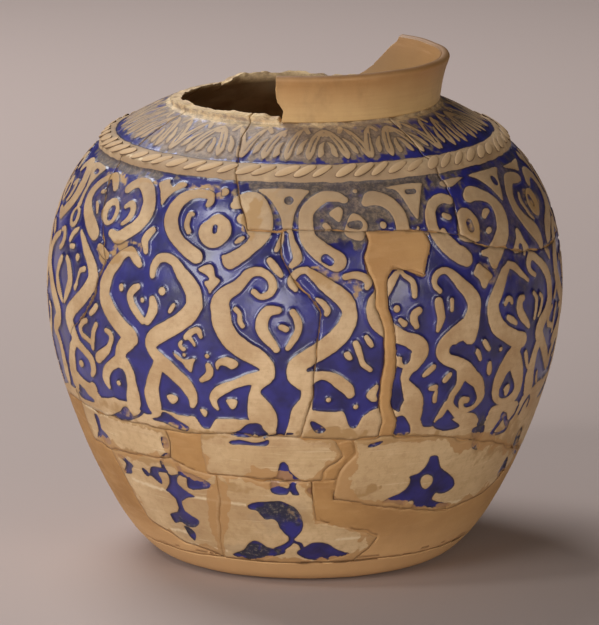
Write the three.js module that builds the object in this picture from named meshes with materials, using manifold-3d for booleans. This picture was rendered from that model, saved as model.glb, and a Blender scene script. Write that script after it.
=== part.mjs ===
// Large storage jar of earthenware, carved through its slip and glazed in cobalt blue.
// It stands as it was put together again: sherds of the old wall, plaster fills where the wall
// is lost, and the part of the neck collar that is left. Millimetres, +Z up. The origin is the
// middle of the foot ring's resting face, and the front of the jar faces -Y.
import * as THREE from 'three';
import { mergeVertices } from 'three/addons/utils/BufferGeometryUtils.js';
import Module from 'manifold-3d';

const wasm = await Module();
wasm.setup();

// Foot and heel
const footRadius = 68;
const footRingWidth = 11;
const footRecess = 2.2;
const footRoll = 14;
const heelRadius = 91.5;
const heelHeight = 12;
const heelRoll = 8.6;
const heelLean = THREE.MathUtils.degToRad(45);

// Wall and shoulder
const wallSpring = 21.6;
const bellyRadius = 140;
const bellyHeight = 145;
const bellyFall = 48.4;
const bellyRise = 64.5;
const shoulderReach = 38.1;
const shoulderSlope = THREE.MathUtils.degToRad(20);
const wallThickness = 6;
const floorThickness = 8;
const floorFillet = 9;

// Neck collar
const neckRadius = 72.5;
const neckBase = 247;
const neckSpring = 9;
const neckSwell = 1.6;
const lipRadius = 78;
const collarHeight = 27;
const lipFlare = 10;
const neckThickness = 5;

// Rope moulding between the frieze and the carved field
const mouldingWidth = 12;
const mouldingProud = 1.7;
const mouldingBelowNeck = 39.3;

// The joint between two pieces, and how far a break runs past the wall's two faces
const jointGap = 0.3;
const breakPastOutside = 1.5;
const breakPastInside = 5;

// Fineness of the facets, and the distance under which two corners are one
const cornerMerge = 1e-4;
const sides = 48;
const longestBreakStep = 24;
const widestBreakTurn = THREE.MathUtils.degToRad(10);

// Profile of the outer face, as [radius, height] curves from the foot to the neck and up the collar
const point = (radius, height) => new THREE.Vector2(radius, height);
const foot = point(footRadius, 0);
const heel = point(heelRadius, heelHeight);
const belly = point(bellyRadius, bellyHeight);
const neck = point(neckRadius, neckBase);
const lipRounding = neckThickness / 2;
const lip = point(lipRadius - lipRounding, neckBase + collarHeight - lipRounding);
const heelWay = point(Math.cos(heelLean), Math.sin(heelLean));
const shoulderWay = point(Math.cos(shoulderSlope), -Math.sin(shoulderSlope));

const wallPath = new THREE.CurvePath();
wallPath.add(new THREE.CubicBezierCurve(
  foot,
  point(footRadius + footRoll, 0),
  heel.clone().addScaledVector(heelWay, -heelRoll),
  heel,
));
wallPath.add(new THREE.CubicBezierCurve(
  heel,
  heel.clone().addScaledVector(heelWay, wallSpring),
  point(bellyRadius, bellyHeight - bellyFall),
  belly,
));
wallPath.add(new THREE.CubicBezierCurve(
  belly,
  point(bellyRadius, bellyHeight + bellyRise),
  neck.clone().addScaledVector(shoulderWay, shoulderReach),
  neck,
));

const neckPath = new THREE.CurvePath();
neckPath.add(new THREE.CubicBezierCurve(
  neck,
  point(neckRadius + neckSwell, neckBase + neckSpring),
  point(neckRadius + neckSwell, lip.y - lipFlare),
  point(lipRadius, lip.y),
));

const wallLength = wallPath.getLength();

// A place on the profile is in percent: of the wall from the foot, at 0, to the base of the neck,
// at 100, and of the collar from there to the lip, at 200.
const percent = (share) => 100 * share;
const NECK = percent(1);
const LIP = percent(2);

// The stretches of it round the base of the neck: where a break's way through the wall turns, and
// where the inner corner is
const NECK_TURN = { from: NECK - 12, to: NECK + 12 };
const INNER_CORNER = { from: NECK - 5, to: NECK + 8 };

function outwards(path, share) {
  const tangent = path.getTangent(THREE.MathUtils.clamp(share, 0, 1));
  return point(tangent.y, -tangent.x);
}

// A point of the outer face, and the way out of the wall there. At the base of the neck that way
// swings from the shoulder's to the collar's.
function profileAt(up) {
  const path = up > NECK ? neckPath : wallPath;
  const share = (up > NECK ? up - NECK : up) / NECK;
  const pastTheLip = Math.max(share - 1, 0) * path.getLength();
  const place = path.getPoint(Math.min(share, 1))
    .addScaledVector(path.getTangent(Math.min(share, 1)), pastTheLip);
  const turned = THREE.MathUtils.smoothstep(up, NECK_TURN.from, NECK_TURN.to);
  const out = outwards(wallPath, up / NECK).lerp(outwards(neckPath, up / NECK - 1), turned).normalize();
  return { place, out };
}

// The moulding's span on the profile, and its height above the plain wall
const mouldingMiddle = NECK - percent(mouldingBelowNeck / wallLength);
const mouldingReach = percent(mouldingWidth / wallLength) / 2;
const mouldingFoot = mouldingMiddle - mouldingReach;
const mouldingTop = mouldingMiddle + mouldingReach;

function mouldingAt(up) {
  const across = THREE.MathUtils.clamp((up - mouldingFoot) / (mouldingTop - mouldingFoot), 0, 1);
  return mouldingProud * Math.sin(Math.PI * across);
}

function evenly(from, to, count) {
  return Array.from({ length: count }, (_, i) => from + ((to - from) * i) / count);
}

// The closed section of the whole jar, before it broke
function sectionOfJar() {
  const heelEnd = percent(wallPath.curves[0].getLength() / wallLength);

  const outer = [
    ...evenly(0, heelEnd, 3),
    ...evenly(heelEnd, mouldingFoot, 11),
    ...evenly(mouldingFoot, mouldingTop, 4),
    ...evenly(mouldingTop, NECK, 3),
    ...evenly(NECK, LIP, 4),
    LIP,
  ].map((up) => {
    const { place, out } = profileAt(up);
    return place.addScaledVector(out, mouldingAt(up));
  });

  const lipRound = [0.25, 0.5, 0.75].map((turn) => {
    const angle = Math.PI * turn;
    return point(lip.x + lipRounding * Math.cos(angle), lip.y + lipRounding * Math.sin(angle));
  });

  const insideOf = (up) => {
    const { place } = profileAt(up);
    return up > NECK
      ? place.addScaledVector(outwards(neckPath, up / NECK - 1), -neckThickness)
      : place.addScaledVector(outwards(wallPath, up / NECK), -wallThickness);
  };
  const neckInside = point(
    neckRadius - neckThickness,
    neckBase - wallThickness / Math.cos(shoulderSlope) + neckThickness * Math.tan(shoulderSlope),
  );
  const floorTop = footRecess + floorThickness;
  const inner = [
    ...evenly(LIP, INNER_CORNER.to, 3).map(insideOf),
    neckInside,
    ...evenly(INNER_CORNER.from, heelEnd, 9).map(insideOf),
    insideOf(heelEnd),
  ].filter((place) => place.y > floorTop + floorFillet / 2);
  const floorEdge = inner.at(-1).x - floorFillet;

  return [
    point(0, footRecess),
    point(footRadius - footRingWidth - footRecess, footRecess),
    point(footRadius - footRingWidth, 0),
    ...outer,
    ...lipRound,
    ...inner,
    point(floorEdge, floorTop),
    point(0, floorTop),
  ];
}

function solidOf(geometry) {
  geometry.deleteAttribute('normal');
  geometry.deleteAttribute('uv');
  const merged = mergeVertices(geometry, cornerMerge);
  const corners = merged.index.array;
  const triangles = [];
  for (let i = 0; i < corners.length; i += 3) {
    const [a, b, c] = corners.slice(i, i + 3);
    if (a !== b && b !== c && c !== a) triangles.push(a, b, c);
  }
  return new wasm.Manifold(new wasm.Mesh({
    numProp: 3,
    vertProperties: Float32Array.from(merged.attributes.position.array),
    triVerts: Uint32Array.from(triangles),
  }));
}

// A point on the wall, from degrees round from the front towards +X and the place up the profile
function wallPoint([around, up]) {
  const { place, out } = profileAt(up);
  const angle = THREE.MathUtils.degToRad(around);
  const turned = (flat) => new THREE.Vector3(flat.x * Math.sin(angle), -flat.x * Math.cos(angle), flat.y);
  return { place: turned(place), out: turned(out), proud: mouldingAt(up) };
}

// Adds stations to a break so that it follows the curve of the wall and cuts through the moulding
function stationsAlong(line) {
  const stations = [];
  const levels = [mouldingFoot, mouldingMiddle, mouldingTop];
  for (let i = 0; i + 1 < line.length; i += 1) {
    const [from, to] = [line[i], line[i + 1]];
    const [start, end] = [wallPoint(from), wallPoint(to)];
    const reach = start.place.distanceTo(end.place) / longestBreakStep;
    const turn = start.out.angleTo(end.out) / widestBreakTurn;
    const steps = Math.ceil(Math.max(reach, turn));
    const crossings = levels
      .map((level) => (level - from[1]) / (to[1] - from[1]))
      .filter((share) => share > 0 && share < 1);
    const shares = [...evenly(0, 1, steps), ...crossings].sort((a, b) => a - b);
    for (const share of shares) {
      stations.push(wallPoint([
        THREE.MathUtils.lerp(from[0], to[0], share),
        THREE.MathUtils.lerp(from[1], to[1], share),
      ]));
    }
  }
  stations.push(wallPoint(line.at(-1)));
  return stations;
}

// A break as a thin solid that stands square to the wall all along its line
function breakSolid(line) {
  const stations = stationsAlong(line);
  const closed = stations[0].place.distanceTo(stations.at(-1).place) < jointGap;
  if (closed) stations.pop();
  const count = stations.length;
  const neighbour = (i) => stations[closed ? (i + count) % count : THREE.MathUtils.clamp(i, 0, count - 1)];
  const positions = [];
  for (let i = 0; i < count; i += 1) {
    const { place, out, proud } = stations[i];
    const along = neighbour(i + 1).place.clone().sub(neighbour(i - 1).place);
    const side = out.clone().cross(along).normalize().multiplyScalar(jointGap / 2);
    const high = place.clone().addScaledVector(out, proud + breakPastOutside);
    const deep = place.clone().addScaledVector(out, -wallThickness - breakPastInside);
    for (const corner of [
      high.clone().add(side),
      high.clone().sub(side),
      deep.clone().sub(side),
      deep.clone().add(side),
    ]) positions.push(...corner.toArray());
  }
  // Both broad faces are split along the same diagonal, so that a twisted stretch stays thin
  const faces = [];
  for (let i = 0; i < (closed ? count : count - 1); i += 1) {
    const [high, highBack, deepBack, deep] = [0, 1, 2, 3].map((corner) => 4 * i + corner);
    const [farHigh, farHighBack, farDeepBack, farDeep] = [0, 1, 2, 3]
      .map((corner) => 4 * ((i + 1) % count) + corner);
    faces.push(
      high, highBack, farHigh, highBack, farHighBack, farHigh,
      highBack, farDeepBack, farHighBack, highBack, deepBack, farDeepBack,
      deepBack, deep, farDeepBack, deep, farDeep, farDeepBack,
      high, farHigh, farDeep, high, farDeep, deep,
    );
  }
  if (!closed) {
    const last = 4 * (count - 1);
    faces.push(0, 2, 1, 0, 3, 2, last, last + 1, last + 2, last, last + 2, last + 3);
  }
  const geometry = new THREE.BufferGeometry();
  geometry.setAttribute('position', new THREE.Float32BufferAttribute(positions, 3));
  geometry.setIndex(faces);
  return solidOf(geometry);
}

// Points where breaks meet, as [degrees round, place up the profile]
const at = {
  neckLeft: [-10, 105],
  neckRight: [155, 105],
  frontCrackTop: [-13.5, 75.6],
  centreCrackTop: [-5.3, 75.7],
  centreCrackFoot: [-1, 38.6],
  patchTopLeft: [13.8, 75.4],
  patchTopRight: [28.5, 74.8],
  stripFootLeft: [17, 38.1],
  stripFootRight: [21, 38.2],
  shoulderFoot: [38, 73.2],
  leftFoot: [-66, 38.8],
  farLeftFoot: [-120, 38.9],
  farLeftShoulder: [-125, 75.5],
  backLeftShoulder: [-168, 69.5],
  backLeftFoot: [-165, 38.2],
  backShoulder: [166, 69.9],
  backRightShoulder: [145, 72.8],
  backRightFoot: [150, 38],
  rightShoulder: [104, 70],
  rightBelly: [86, 67.4],
  rightFoot: [86, 27.3],
  creamLeft: [-66, 31.6],
  creamInner: [-57, 31],
  creamRight: [-34.5, 32.2],
  creamTop: [-34.5, 38.3],
  slipLeft: [-25, 30.2],
  slipTop: [-25, 38.2],
  scratchTop: [-22.5, 30],
  scratchFoot: [-27, 10.3],
  tongueTop: [1.5, 29.6],
  tongueFoot: [16, 10.3],
  seamTopLeft: [7, 38.1],
  seamTopRight: [11, 38],
  seamFootLeft: [4, 29.7],
  seamFootRight: [8, 29.9],
  rightFillTop: [120, 32.5],
  rightFillFoot: [120, 10],
  leftFillFoot: [-121, 10.2],
  backFillTop: [-172, 38.3],
  backFillFoot: [-171, 10],
  rightSherdEnd: [78, 27.6],
};

// Each break is a line over the wall that cuts the jar into its sherds and fills.
const breaks = {
  // The heel and floor were cast as one fill
  heelRing: [
    [-180, 10.4], at.backFillFoot, [-145, 10.6], at.leftFillFoot, [-95, 9.6], [-65, 10.3],
    [-42, 9.9], at.scratchFoot, [-10, 9.9], at.tongueFoot, [40, 9.8], [70, 10.4],
    [95, 9.7], at.rightFillFoot, [150, 10.5], [180, 10.4],
  ],
  // Where the carved belly ends and the lower wall begins
  bellyRing: [
    [-180, 38.7], at.backFillTop, at.backLeftFoot, [-145, 37.5], at.farLeftFoot, [-95, 38],
    at.leftFoot, [-50, 38.3], at.creamTop, at.slipTop, [-18, 38.6], [-5, 39],
    at.centreCrackFoot, at.seamTopLeft, at.seamTopRight, at.stripFootLeft, at.stripFootRight,
    [30, 37.4], [38, 35.9], [45, 34.7], [52, 33.3], [60, 31.3], [68, 29.2], at.rightSherdEnd,
    at.rightFoot, [103, 28.8], at.rightFillTop, [135, 35.8], at.backRightFoot, [165, 39.2],
    [180, 38.7],
  ],
  // The break under the shoulder, from the front crack to the right and round the back
  shoulderRing: [
    at.frontCrackTop, at.centreCrackTop, [4, 75.8], at.patchTopLeft, [22, 75.2],
    at.patchTopRight, [34, 73.8], at.shoulderFoot, [42, 71.2], [46, 70.2], [52, 69.2],
    [58, 67.9], [66, 66.9], [75, 66.6], at.rightBelly, at.rightShoulder, [122, 73.4],
    at.backRightShoulder, at.backShoulder, [178, 68.8], [192, 69.5], [208, 72], [222, 74.8],
    [235, 75.5],
  ],
  leftCrack: [
    [-62, 122], [-61, 90.7], [-62, 84.4], [-59, 79.1], [-56, 74.5], [-53.5, 71.2],
    [-50, 67.9], [-52, 64.3], [-53, 60.3], [-57, 56.7], [-63, 52.8], [-66, 48.8],
    [-69, 44.8], [-68, 41.5], at.leftFoot,
  ],
  frontCrack: [
    [-24, 122], [-23, 95.6], [-21, 90.7], [-19, 86.4], [-17.5, 82.4], [-15, 79.1],
    at.frontCrackTop,
  ],
  centreCrack: [
    at.centreCrackTop, [-5.5, 71.9], [-3, 67.6], [1, 64.6], [3.5, 61.7], [3, 57.7],
    [2.2, 52.8], [1.8, 46.2], [0, 41.5], at.centreCrackFoot,
  ],
  shoulderCrack: [
    [38.5, 105], [38, 92], [38.8, 86.4], [39.5, 82], [40, 79], [38.6, 76], at.shoulderFoot,
  ],
  patchLeft: [
    at.patchTopLeft, [14.6, 73.5], [13.3, 71], [14.2, 68.5], [15, 66.9], [15.6, 62.6],
    [17, 58], [17.3, 52], [16.8, 46], [17.6, 41.5], at.stripFootLeft,
  ],
  patchRight: [
    at.patchTopRight, [29.8, 72], [28.3, 69.4], [27, 67], [24, 68], [20, 68.8],
    [18.5, 67.4], [18.2, 62.5], [19.6, 57], [20, 51], [19.4, 45], [21, 41],
    at.stripFootRight,
  ],
  farLeftCrack: [
    [-122, 122], [-124, 90], [-121, 82], at.farLeftShoulder, [-121, 66], [-124, 56],
    [-118, 47], at.farLeftFoot,
  ],
  backShoulderCrack: [[168, 122], [170, 92], [166, 84], [168, 76], at.backShoulder],
  rightShoulderCrack: [[104, 105], [102, 91], [105, 82], [102, 75], at.rightShoulder],
  rightBellyCrack: [at.rightBelly, [84, 58], [88, 48], [84, 38], at.rightFoot],
  backRightCrack: [at.backRightShoulder, [148, 62], [143, 52], [147, 44], at.backRightFoot],
  backLeftCrack: [at.backLeftShoulder, [-171, 60], [-166, 50], [-170, 43], at.backLeftFoot],
  // Lower wall, left of the middle
  creamSherd: [at.leftFoot, [-67, 35], at.creamLeft, at.creamInner, [-45, 31.6], at.creamRight,
    [-33.4, 35.5], at.creamTop],
  leftSherd: [at.creamInner, [-56, 26], [-54, 20], [-53, 16.5], [-46, 14.6], [-41, 12.6],
    [-33, 11.8], at.scratchFoot],
  slipStrip: [at.creamRight, [-28, 30.5], at.slipLeft, [-25.5, 34], at.slipTop],
  scratch: [at.scratchTop, [-22.5, 24.6], [-24.5, 19.8], [-26, 14.8], at.scratchFoot],
  // Lower wall, middle and right
  middleSherd: [at.slipLeft, at.scratchTop, [-10, 29.8], at.tongueTop, at.seamFootLeft,
    [5, 32.3], [9, 34.6], at.seamTopLeft],
  tongue: [at.tongueTop, [2, 26], [3, 20.8], [12, 19], [22, 16.4], [20, 13], at.tongueFoot],
  rightSherd: [at.seamFootLeft, at.seamFootRight, [7.5, 25.6], [20, 23.6], [28, 22], [35, 21],
    [45, 20], [60, 21.5], [70, 24.3], at.rightSherdEnd],
  seam: [at.seamFootRight, [8.6, 32], [12, 35], at.seamTopRight],
  rightFillEnd: [at.rightFillTop, [118, 24], [122, 16], at.rightFillFoot],
  leftFillEnd: [at.farLeftFoot, [-122, 30], [-118, 20], at.leftFillFoot],
  backFillEnd: [at.backFillTop, [-174, 30], [-168, 20], at.backFillFoot],
  // Where the collar sits on the shoulder, and its two broken ends
  collarSeat: [at.neckLeft, [15, 105], [38.5, 105], [70, 105], [104, 105], [130, 105],
    at.neckRight],
  collarLeftEnd: [at.neckLeft, [-9, 130], [-11.5, 150], [-12, 175], [-11, 220]],
  collarRightEnd: [at.neckRight, [147, 135], [141, 165], [136, 190], [134, 220]],
  // The broken stub of the neck, round the back from the collar's right end to its left end
  stubEdge: [
    at.neckRight, [162, 107], [170, 104], [180, 109], [195, 112], [213, 112], [218, 103],
    [220, 98.2], [227, 99.4], [239, 101], [253, 101], [265, 103], [280, 108], [295, 116],
    [310, 115], [325, 117], [340, 116], [349, 114], [350, 105],
  ],
};

const EARTHENWARE = { color: 0xc8ac82, roughness: 0.75, metalness: 0 };
const PLASTER = { color: 0xa57d4b, roughness: 0.9, metalness: 0 };
const COLLAR = { color: 0xb99a70, roughness: 0.85, metalness: 0 };

// A place inside each piece that the jar still has. The rest of the neck has none: it is lost.
const pieces = {
  wall_sherd_left: { inside: [-35, 60], finish: EARTHENWARE },
  wall_sherd_far_left: { inside: [-90, 60], finish: EARTHENWARE },
  shoulder_sherd_front: { inside: [10, 88], finish: EARTHENWARE },
  shoulder_sherd_right: { inside: [70, 85], finish: EARTHENWARE },
  shoulder_sherd_back_right: { inside: [135, 85], finish: EARTHENWARE },
  shoulder_sherd_back_left: { inside: [200, 85], finish: EARTHENWARE },
  belly_sherd_centre: { inside: [9, 55], finish: EARTHENWARE },
  belly_sherd_right: { inside: [50, 50], finish: EARTHENWARE },
  belly_sherd_back_right: { inside: [115, 50], finish: EARTHENWARE },
  belly_sherd_back: { inside: [170, 55], finish: EARTHENWARE },
  belly_sherd_back_left: { inside: [-145, 55], finish: EARTHENWARE },
  belly_fill_front: { inside: [22, 72], finish: PLASTER },
  lower_sherd_top_left: { inside: [-50, 35], finish: EARTHENWARE },
  lower_sherd_left: { inside: [-40, 24], finish: EARTHENWARE },
  lower_sherd_front: { inside: [-8, 20], finish: EARTHENWARE },
  lower_sherd_middle: { inside: [-10, 34], finish: EARTHENWARE },
  lower_sherd_right: { inside: [35, 30], finish: EARTHENWARE },
  lower_sherd_back: { inside: [155, 25], finish: EARTHENWARE },
  lower_fill_strip_left: { inside: [-30, 35], finish: PLASTER },
  lower_fill_strip_right: { inside: [10.2, 35], finish: PLASTER },
  lower_fill_left: { inside: [-90, 25], finish: PLASTER },
  lower_fill_right: { inside: [60, 15], finish: PLASTER },
  lower_fill_back: { inside: [-145, 25], finish: PLASTER },
  foot_and_floor: { inside: [0, 4], finish: PLASTER },
  neck_collar: { inside: [60, 150], finish: COLLAR },
};

function brokenJar() {
  const section = new THREE.LatheGeometry(sectionOfJar(), sides);
  section.rotateX(Math.PI / 2);
  const cuts = Object.values(breaks).map(breakSolid).reduce((all, cut) => all.add(cut));
  return solidOf(section).subtract(cuts).decompose();
}

function pieceAround(fragments, inside) {
  const { place, out } = wallPoint(inside);
  const probe = new THREE.BoxGeometry(1, 1, 1);
  const middle = place.addScaledVector(out, -Math.min(wallThickness, neckThickness) / 2);
  probe.translate(middle.x, middle.y, middle.z);
  const probeSolid = solidOf(probe);
  return fragments.find((fragment) => !fragment.intersect(probeSolid).isEmpty());
}

function meshOf(name, solid, finish) {
  const { vertProperties, triVerts } = solid.getMesh();
  const geometry = new THREE.BufferGeometry();
  geometry.setAttribute('position', new THREE.BufferAttribute(vertProperties, 3));
  geometry.setIndex(new THREE.BufferAttribute(triVerts, 1));
  geometry.computeVertexNormals();
  const mesh = new THREE.Mesh(geometry, new THREE.MeshStandardMaterial(finish));
  mesh.name = name;
  return mesh;
}

const jar = new THREE.Group();
const fragments = brokenJar();
for (const [name, { inside, finish }] of Object.entries(pieces)) {
  jar.add(meshOf(name, pieceAround(fragments, inside), finish));
}

export default jar;
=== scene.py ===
"""Looks of a large storage jar, carved through buff slip to a ground of cobalt glaze.

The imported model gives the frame: where the sherds, the plaster fills, the foot and the collar lie.
Each is replaced here by a fine closed mesh that has the same break lines, with the carving cut in.
A place on the jar is written as degrees round from the front, positive to the viewer's right, and
millimetres up the outer face from the edge of the foot.
"""
import logging
import math
from dataclasses import dataclass, field
from enum import Enum
from typing import Callable, Iterable, Mapping, Sequence

import bpy
import numpy as np
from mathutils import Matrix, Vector
from mathutils.geometry import delaunay_2d_cdt
from mathutils.kdtree import KDTree


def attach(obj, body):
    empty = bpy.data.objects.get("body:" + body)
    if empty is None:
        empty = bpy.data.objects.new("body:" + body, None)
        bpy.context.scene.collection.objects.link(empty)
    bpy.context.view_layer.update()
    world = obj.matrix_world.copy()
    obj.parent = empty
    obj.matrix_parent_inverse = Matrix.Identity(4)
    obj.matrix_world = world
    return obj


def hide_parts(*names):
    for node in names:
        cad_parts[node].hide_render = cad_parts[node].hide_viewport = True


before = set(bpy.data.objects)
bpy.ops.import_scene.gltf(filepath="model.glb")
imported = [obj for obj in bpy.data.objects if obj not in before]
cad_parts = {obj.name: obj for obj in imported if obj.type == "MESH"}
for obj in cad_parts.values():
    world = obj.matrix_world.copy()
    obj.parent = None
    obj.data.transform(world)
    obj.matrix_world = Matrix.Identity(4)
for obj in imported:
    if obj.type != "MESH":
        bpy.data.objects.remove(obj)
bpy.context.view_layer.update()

log = logging.getLogger("jar")

MM = 0.001
FULL_TURN = 360.0
UNCARVED = -3.0
FAR_FROM_RIM = 12.0
Stroke = Sequence[Sequence[float]]
Socket = bpy.types.NodeSocket
Sockets = Mapping[str, Socket]


class Slot(Enum):
    """The material slots of the record."""

    SHERD = "carved_earthenware"
    FILL = "toned_plaster"
    COLLAR = "plain_collar"


class Wear(Enum):
    """What age did to the outer face, as channels of the wear attribute."""

    GREY_GLAZE = 0
    BARE_CLAY = 1
    PALE_SCRATCH = 2


def smoothstep(low: float, high: float, value: np.ndarray) -> np.ndarray:
    """Returns 0 below low, 1 above high and a smooth rise between."""
    share = np.clip((value - low) / (high - low), 0.0, 1.0)
    return share * share * (3.0 - 2.0 * share)


def round_jar(radius: np.ndarray, around: np.ndarray, height: np.ndarray) -> np.ndarray:
    """Returns points in space from their distance to the axis, degrees round and height."""
    angle = np.radians(around)
    return np.stack([radius * np.sin(angle), -radius * np.cos(angle), height + 0 * angle], axis=-1)


def outwards(way: np.ndarray) -> np.ndarray:
    """Returns the way out of the jar beside a way up its section."""
    return np.array([way[1], -way[0]]) / np.linalg.norm(way)


@dataclass(frozen=True)
class JarProfile:
    """The outer face of the jar in section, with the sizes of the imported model, in millimetres."""

    foot_radius: float = 68.0
    foot_roll: float = 14.0
    heel: tuple[float, float] = (91.5, 12.0)
    heel_lean: float = math.radians(45)
    heel_roll: float = 8.6
    wall_spring: float = 21.6
    belly: tuple[float, float] = (140.0, 145.0)
    belly_fall: float = 48.4
    belly_rise: float = 64.5
    shoulder_reach: float = 38.1
    shoulder_slope: float = math.radians(20)
    neck: tuple[float, float] = (72.5, 247.0)
    neck_swell: float = 1.6
    neck_spring: float = 9.0
    lip: tuple[float, float] = (78.0, 271.5)
    lip_flare: float = 10.0
    lip_rounding: float = 2.5
    wall_thickness: float = 6.0
    corner_thickness: float = 7.3
    neck_thickness: float = 5.0
    turn_below_neck: float = 36.4
    turn_above_neck: float = 3.1
    moulding_below_neck: float = 39.3
    moulding_width: float = 12.0
    moulding_proud: float = 1.7
    samples: int = 240
    table: dict = field(default_factory=dict)

    def __post_init__(self) -> None:
        """Samples the curves once, by length along them."""
        lean = np.array([math.cos(self.heel_lean), math.sin(self.heel_lean)])
        slope = np.array([math.cos(self.shoulder_slope), -math.sin(self.shoulder_slope)])
        heel, neck, lip = np.array(self.heel), np.array(self.neck), np.array(self.lip)
        radius, height = self.belly
        wall = [
            self.bezier((self.foot_radius, 0), (self.foot_radius + self.foot_roll, 0),
                        heel - self.heel_roll * lean, heel),
            self.bezier(heel, heel + self.wall_spring * lean,
                        (radius, height - self.belly_fall), self.belly),
            self.bezier(self.belly, (radius, height + self.belly_rise),
                        neck + self.shoulder_reach * slope, neck),
        ]
        swollen = self.neck[0] + self.neck_swell
        collar = self.bezier(neck, (swollen, self.neck[1] + self.neck_spring),
                             (swollen, self.lip[1] - self.lip_flare), lip)
        wall_line = np.vstack([wall[0], wall[1][1:], wall[2][1:]])
        line = np.vstack([wall_line, collar[1:]])
        length = np.concatenate([[0], np.cumsum(np.linalg.norm(np.diff(line, axis=0), axis=1))])
        neck_at = length[len(wall_line) - 1]
        way = np.gradient(line, length, axis=0)
        shoulder_out = outwards(wall_line[-1] - wall_line[-2])
        collar_out = outwards(collar[1] - collar[0])
        out = np.stack([way[:, 1], -way[:, 0]], axis=1)
        face = np.where((np.abs(length - neck_at) < 0.2)[:, None], shoulder_out, out)
        turned = smoothstep(neck_at - self.turn_below_neck, neck_at + self.turn_above_neck, length)
        below = np.where((length <= neck_at)[:, None], out, shoulder_out)
        above = np.where((length > neck_at)[:, None], out, collar_out)
        out = below * (1 - turned[:, None]) + above * turned[:, None]
        out /= np.linalg.norm(out, axis=1)[:, None]
        self.table.update(line=line, length=length, out=out, face=face, neck=neck_at, lip=length[-1])

    def bezier(self, *corners: Sequence[float]) -> np.ndarray:
        """Returns points of a cubic curve.

        Args:
            corners: its four control points, as (radius, height).

        Returns:
            An array of samples + 1 points.
        """
        a, b, c, d = (np.array(corner, float) for corner in corners)
        t = np.linspace(0, 1, self.samples + 1)[:, None]
        return (1 - t) ** 3 * a + 3 * t * (1 - t) ** 2 * b + 3 * t * t * (1 - t) * c + t ** 3 * d

    @property
    def neck_up(self) -> float:
        """The place of the neck's base on the outer face."""
        return self.table["neck"]

    @property
    def lip_up(self) -> float:
        """The place where the lip's rounding starts."""
        return self.table["lip"]

    def sample(self, name: str, up: np.ndarray) -> np.ndarray:
        """Returns the (radius, height) pairs of one sampled line at the places up."""
        columns = self.table[name]
        length = self.table["length"]
        return np.stack([np.interp(up, length, columns[:, i]) for i in (0, 1)], axis=-1)

    def proud(self, up: np.ndarray) -> np.ndarray:
        """Returns how far the moulding stands off the plain wall."""
        foot = self.neck_up - self.moulding_below_neck - self.moulding_width / 2
        across = np.clip((up - foot) / self.moulding_width, 0, 1)
        return self.moulding_proud * np.sin(np.pi * across)

    def thickness(self, up: np.ndarray) -> np.ndarray:
        """Returns the wall's thickness, measured the way the breaks run through it."""
        stations = [self.neck_up - self.turn_below_neck, self.neck_up, self.neck_up + self.turn_above_neck]
        return np.interp(up, stations, [self.wall_thickness, self.corner_thickness, self.neck_thickness])

    def place(self, around: np.ndarray, up: np.ndarray, lift: np.ndarray) -> np.ndarray:
        """Returns points in space.

        Args:
            around: degrees round from the front.
            up: millimetres up the outer face.
            lift: millimetres out from it, less than nothing towards the inside.

        Returns:
            An array of x, y and z in millimetres.
        """
        flat = self.sample("line", up) + self.sample("out", up) * np.asarray(lift)[..., None]
        return round_jar(flat[..., 0], around, flat[..., 1])

    def locate(self, radius: np.ndarray, height: np.ndarray) -> tuple[np.ndarray, np.ndarray]:
        """Returns the place up the outer face nearest to each point of the section, and how far off."""
        line = self.table["line"][::2]
        length = self.table["length"][::2]
        offsets = np.hypot(radius[:, None] - line[None, :, 0], height[:, None] - line[None, :, 1])
        nearest = offsets.argmin(axis=1)
        return length[nearest], offsets[np.arange(len(radius)), nearest]


PROFILE = JarProfile()
FLAT_SCALE = math.radians(PROFILE.belly[0])


def value_noise(around: np.ndarray, up: np.ndarray, cell: float, seed: int) -> np.ndarray:
    """Returns smooth noise from -1 to 1 that closes on itself round the jar.

    Args:
        around: degrees round from the front.
        up: millimetres up the outer face.
        cell: the size of its grains, in millimetres at the belly.
        seed: which noise it is.
    """
    columns = max(3, round(FULL_TURN * FLAT_SCALE / cell))
    rows = int(PROFILE.lip_up / cell) + 6
    lattice = np.random.default_rng(seed).uniform(-1, 1, (rows, columns))
    x = np.asarray(around) / FULL_TURN % 1.0 * columns
    y = np.clip(np.asarray(up) / cell + 2, 0, rows - 1.001)
    column, row = np.floor(x).astype(int), np.floor(y).astype(int)
    fx, fy = smoothstep(0, 1, x - column), smoothstep(0, 1, y - row)
    left, right = column % columns, (column + 1) % columns
    low = lattice[row, left] * (1 - fx) + lattice[row, right] * fx
    high = lattice[row + 1, left] * (1 - fx) + lattice[row + 1, right] * fx
    return low * (1 - fy) + high * fy


class Noise(Enum):
    """The noises over the jar: how far each swings, the size of its grains, and its seed."""

    FIELD_FOOT = (0.5, 4.0, 11)
    MOULDING = (0.35, 6.0, 12)
    DRIFT_ROUND = (0.75, 9.0, 21)
    DRIFT_UP = (0.75, 9.0, 22)
    FINE_DRIFT_ROUND = (0.22, 3.0, 23)
    FINE_DRIFT_UP = (0.22, 3.0, 24)
    SWELL = (0.2, 26.0, 31)
    FINE_SWELL = (0.04, 5.0, 32)
    INSIDE = (0.25, 14.0, 33)
    SMEAR = (0.12, 7.0, 34)
    CUT_EDGE = (0.16, 1.8, 35)
    WEAR = (0.34, 5.0, 41)
    FINE_WEAR = (0.2, 2.0, 42)
    SCRATCH = (0.5, 1.6, 43)
    WORN_RIM = (0.5, 2.4, 51)
    COLLAR_SWAY = (0.18, 22.0, 72)
    COLLAR_LIP = (0.25, 30.0, 73)

    def at(self, around: np.ndarray, up: np.ndarray) -> np.ndarray:
        """Returns its value at each place."""
        swing, cell, seed = self.value
        return swing * value_noise(around, up, cell, seed)


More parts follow.
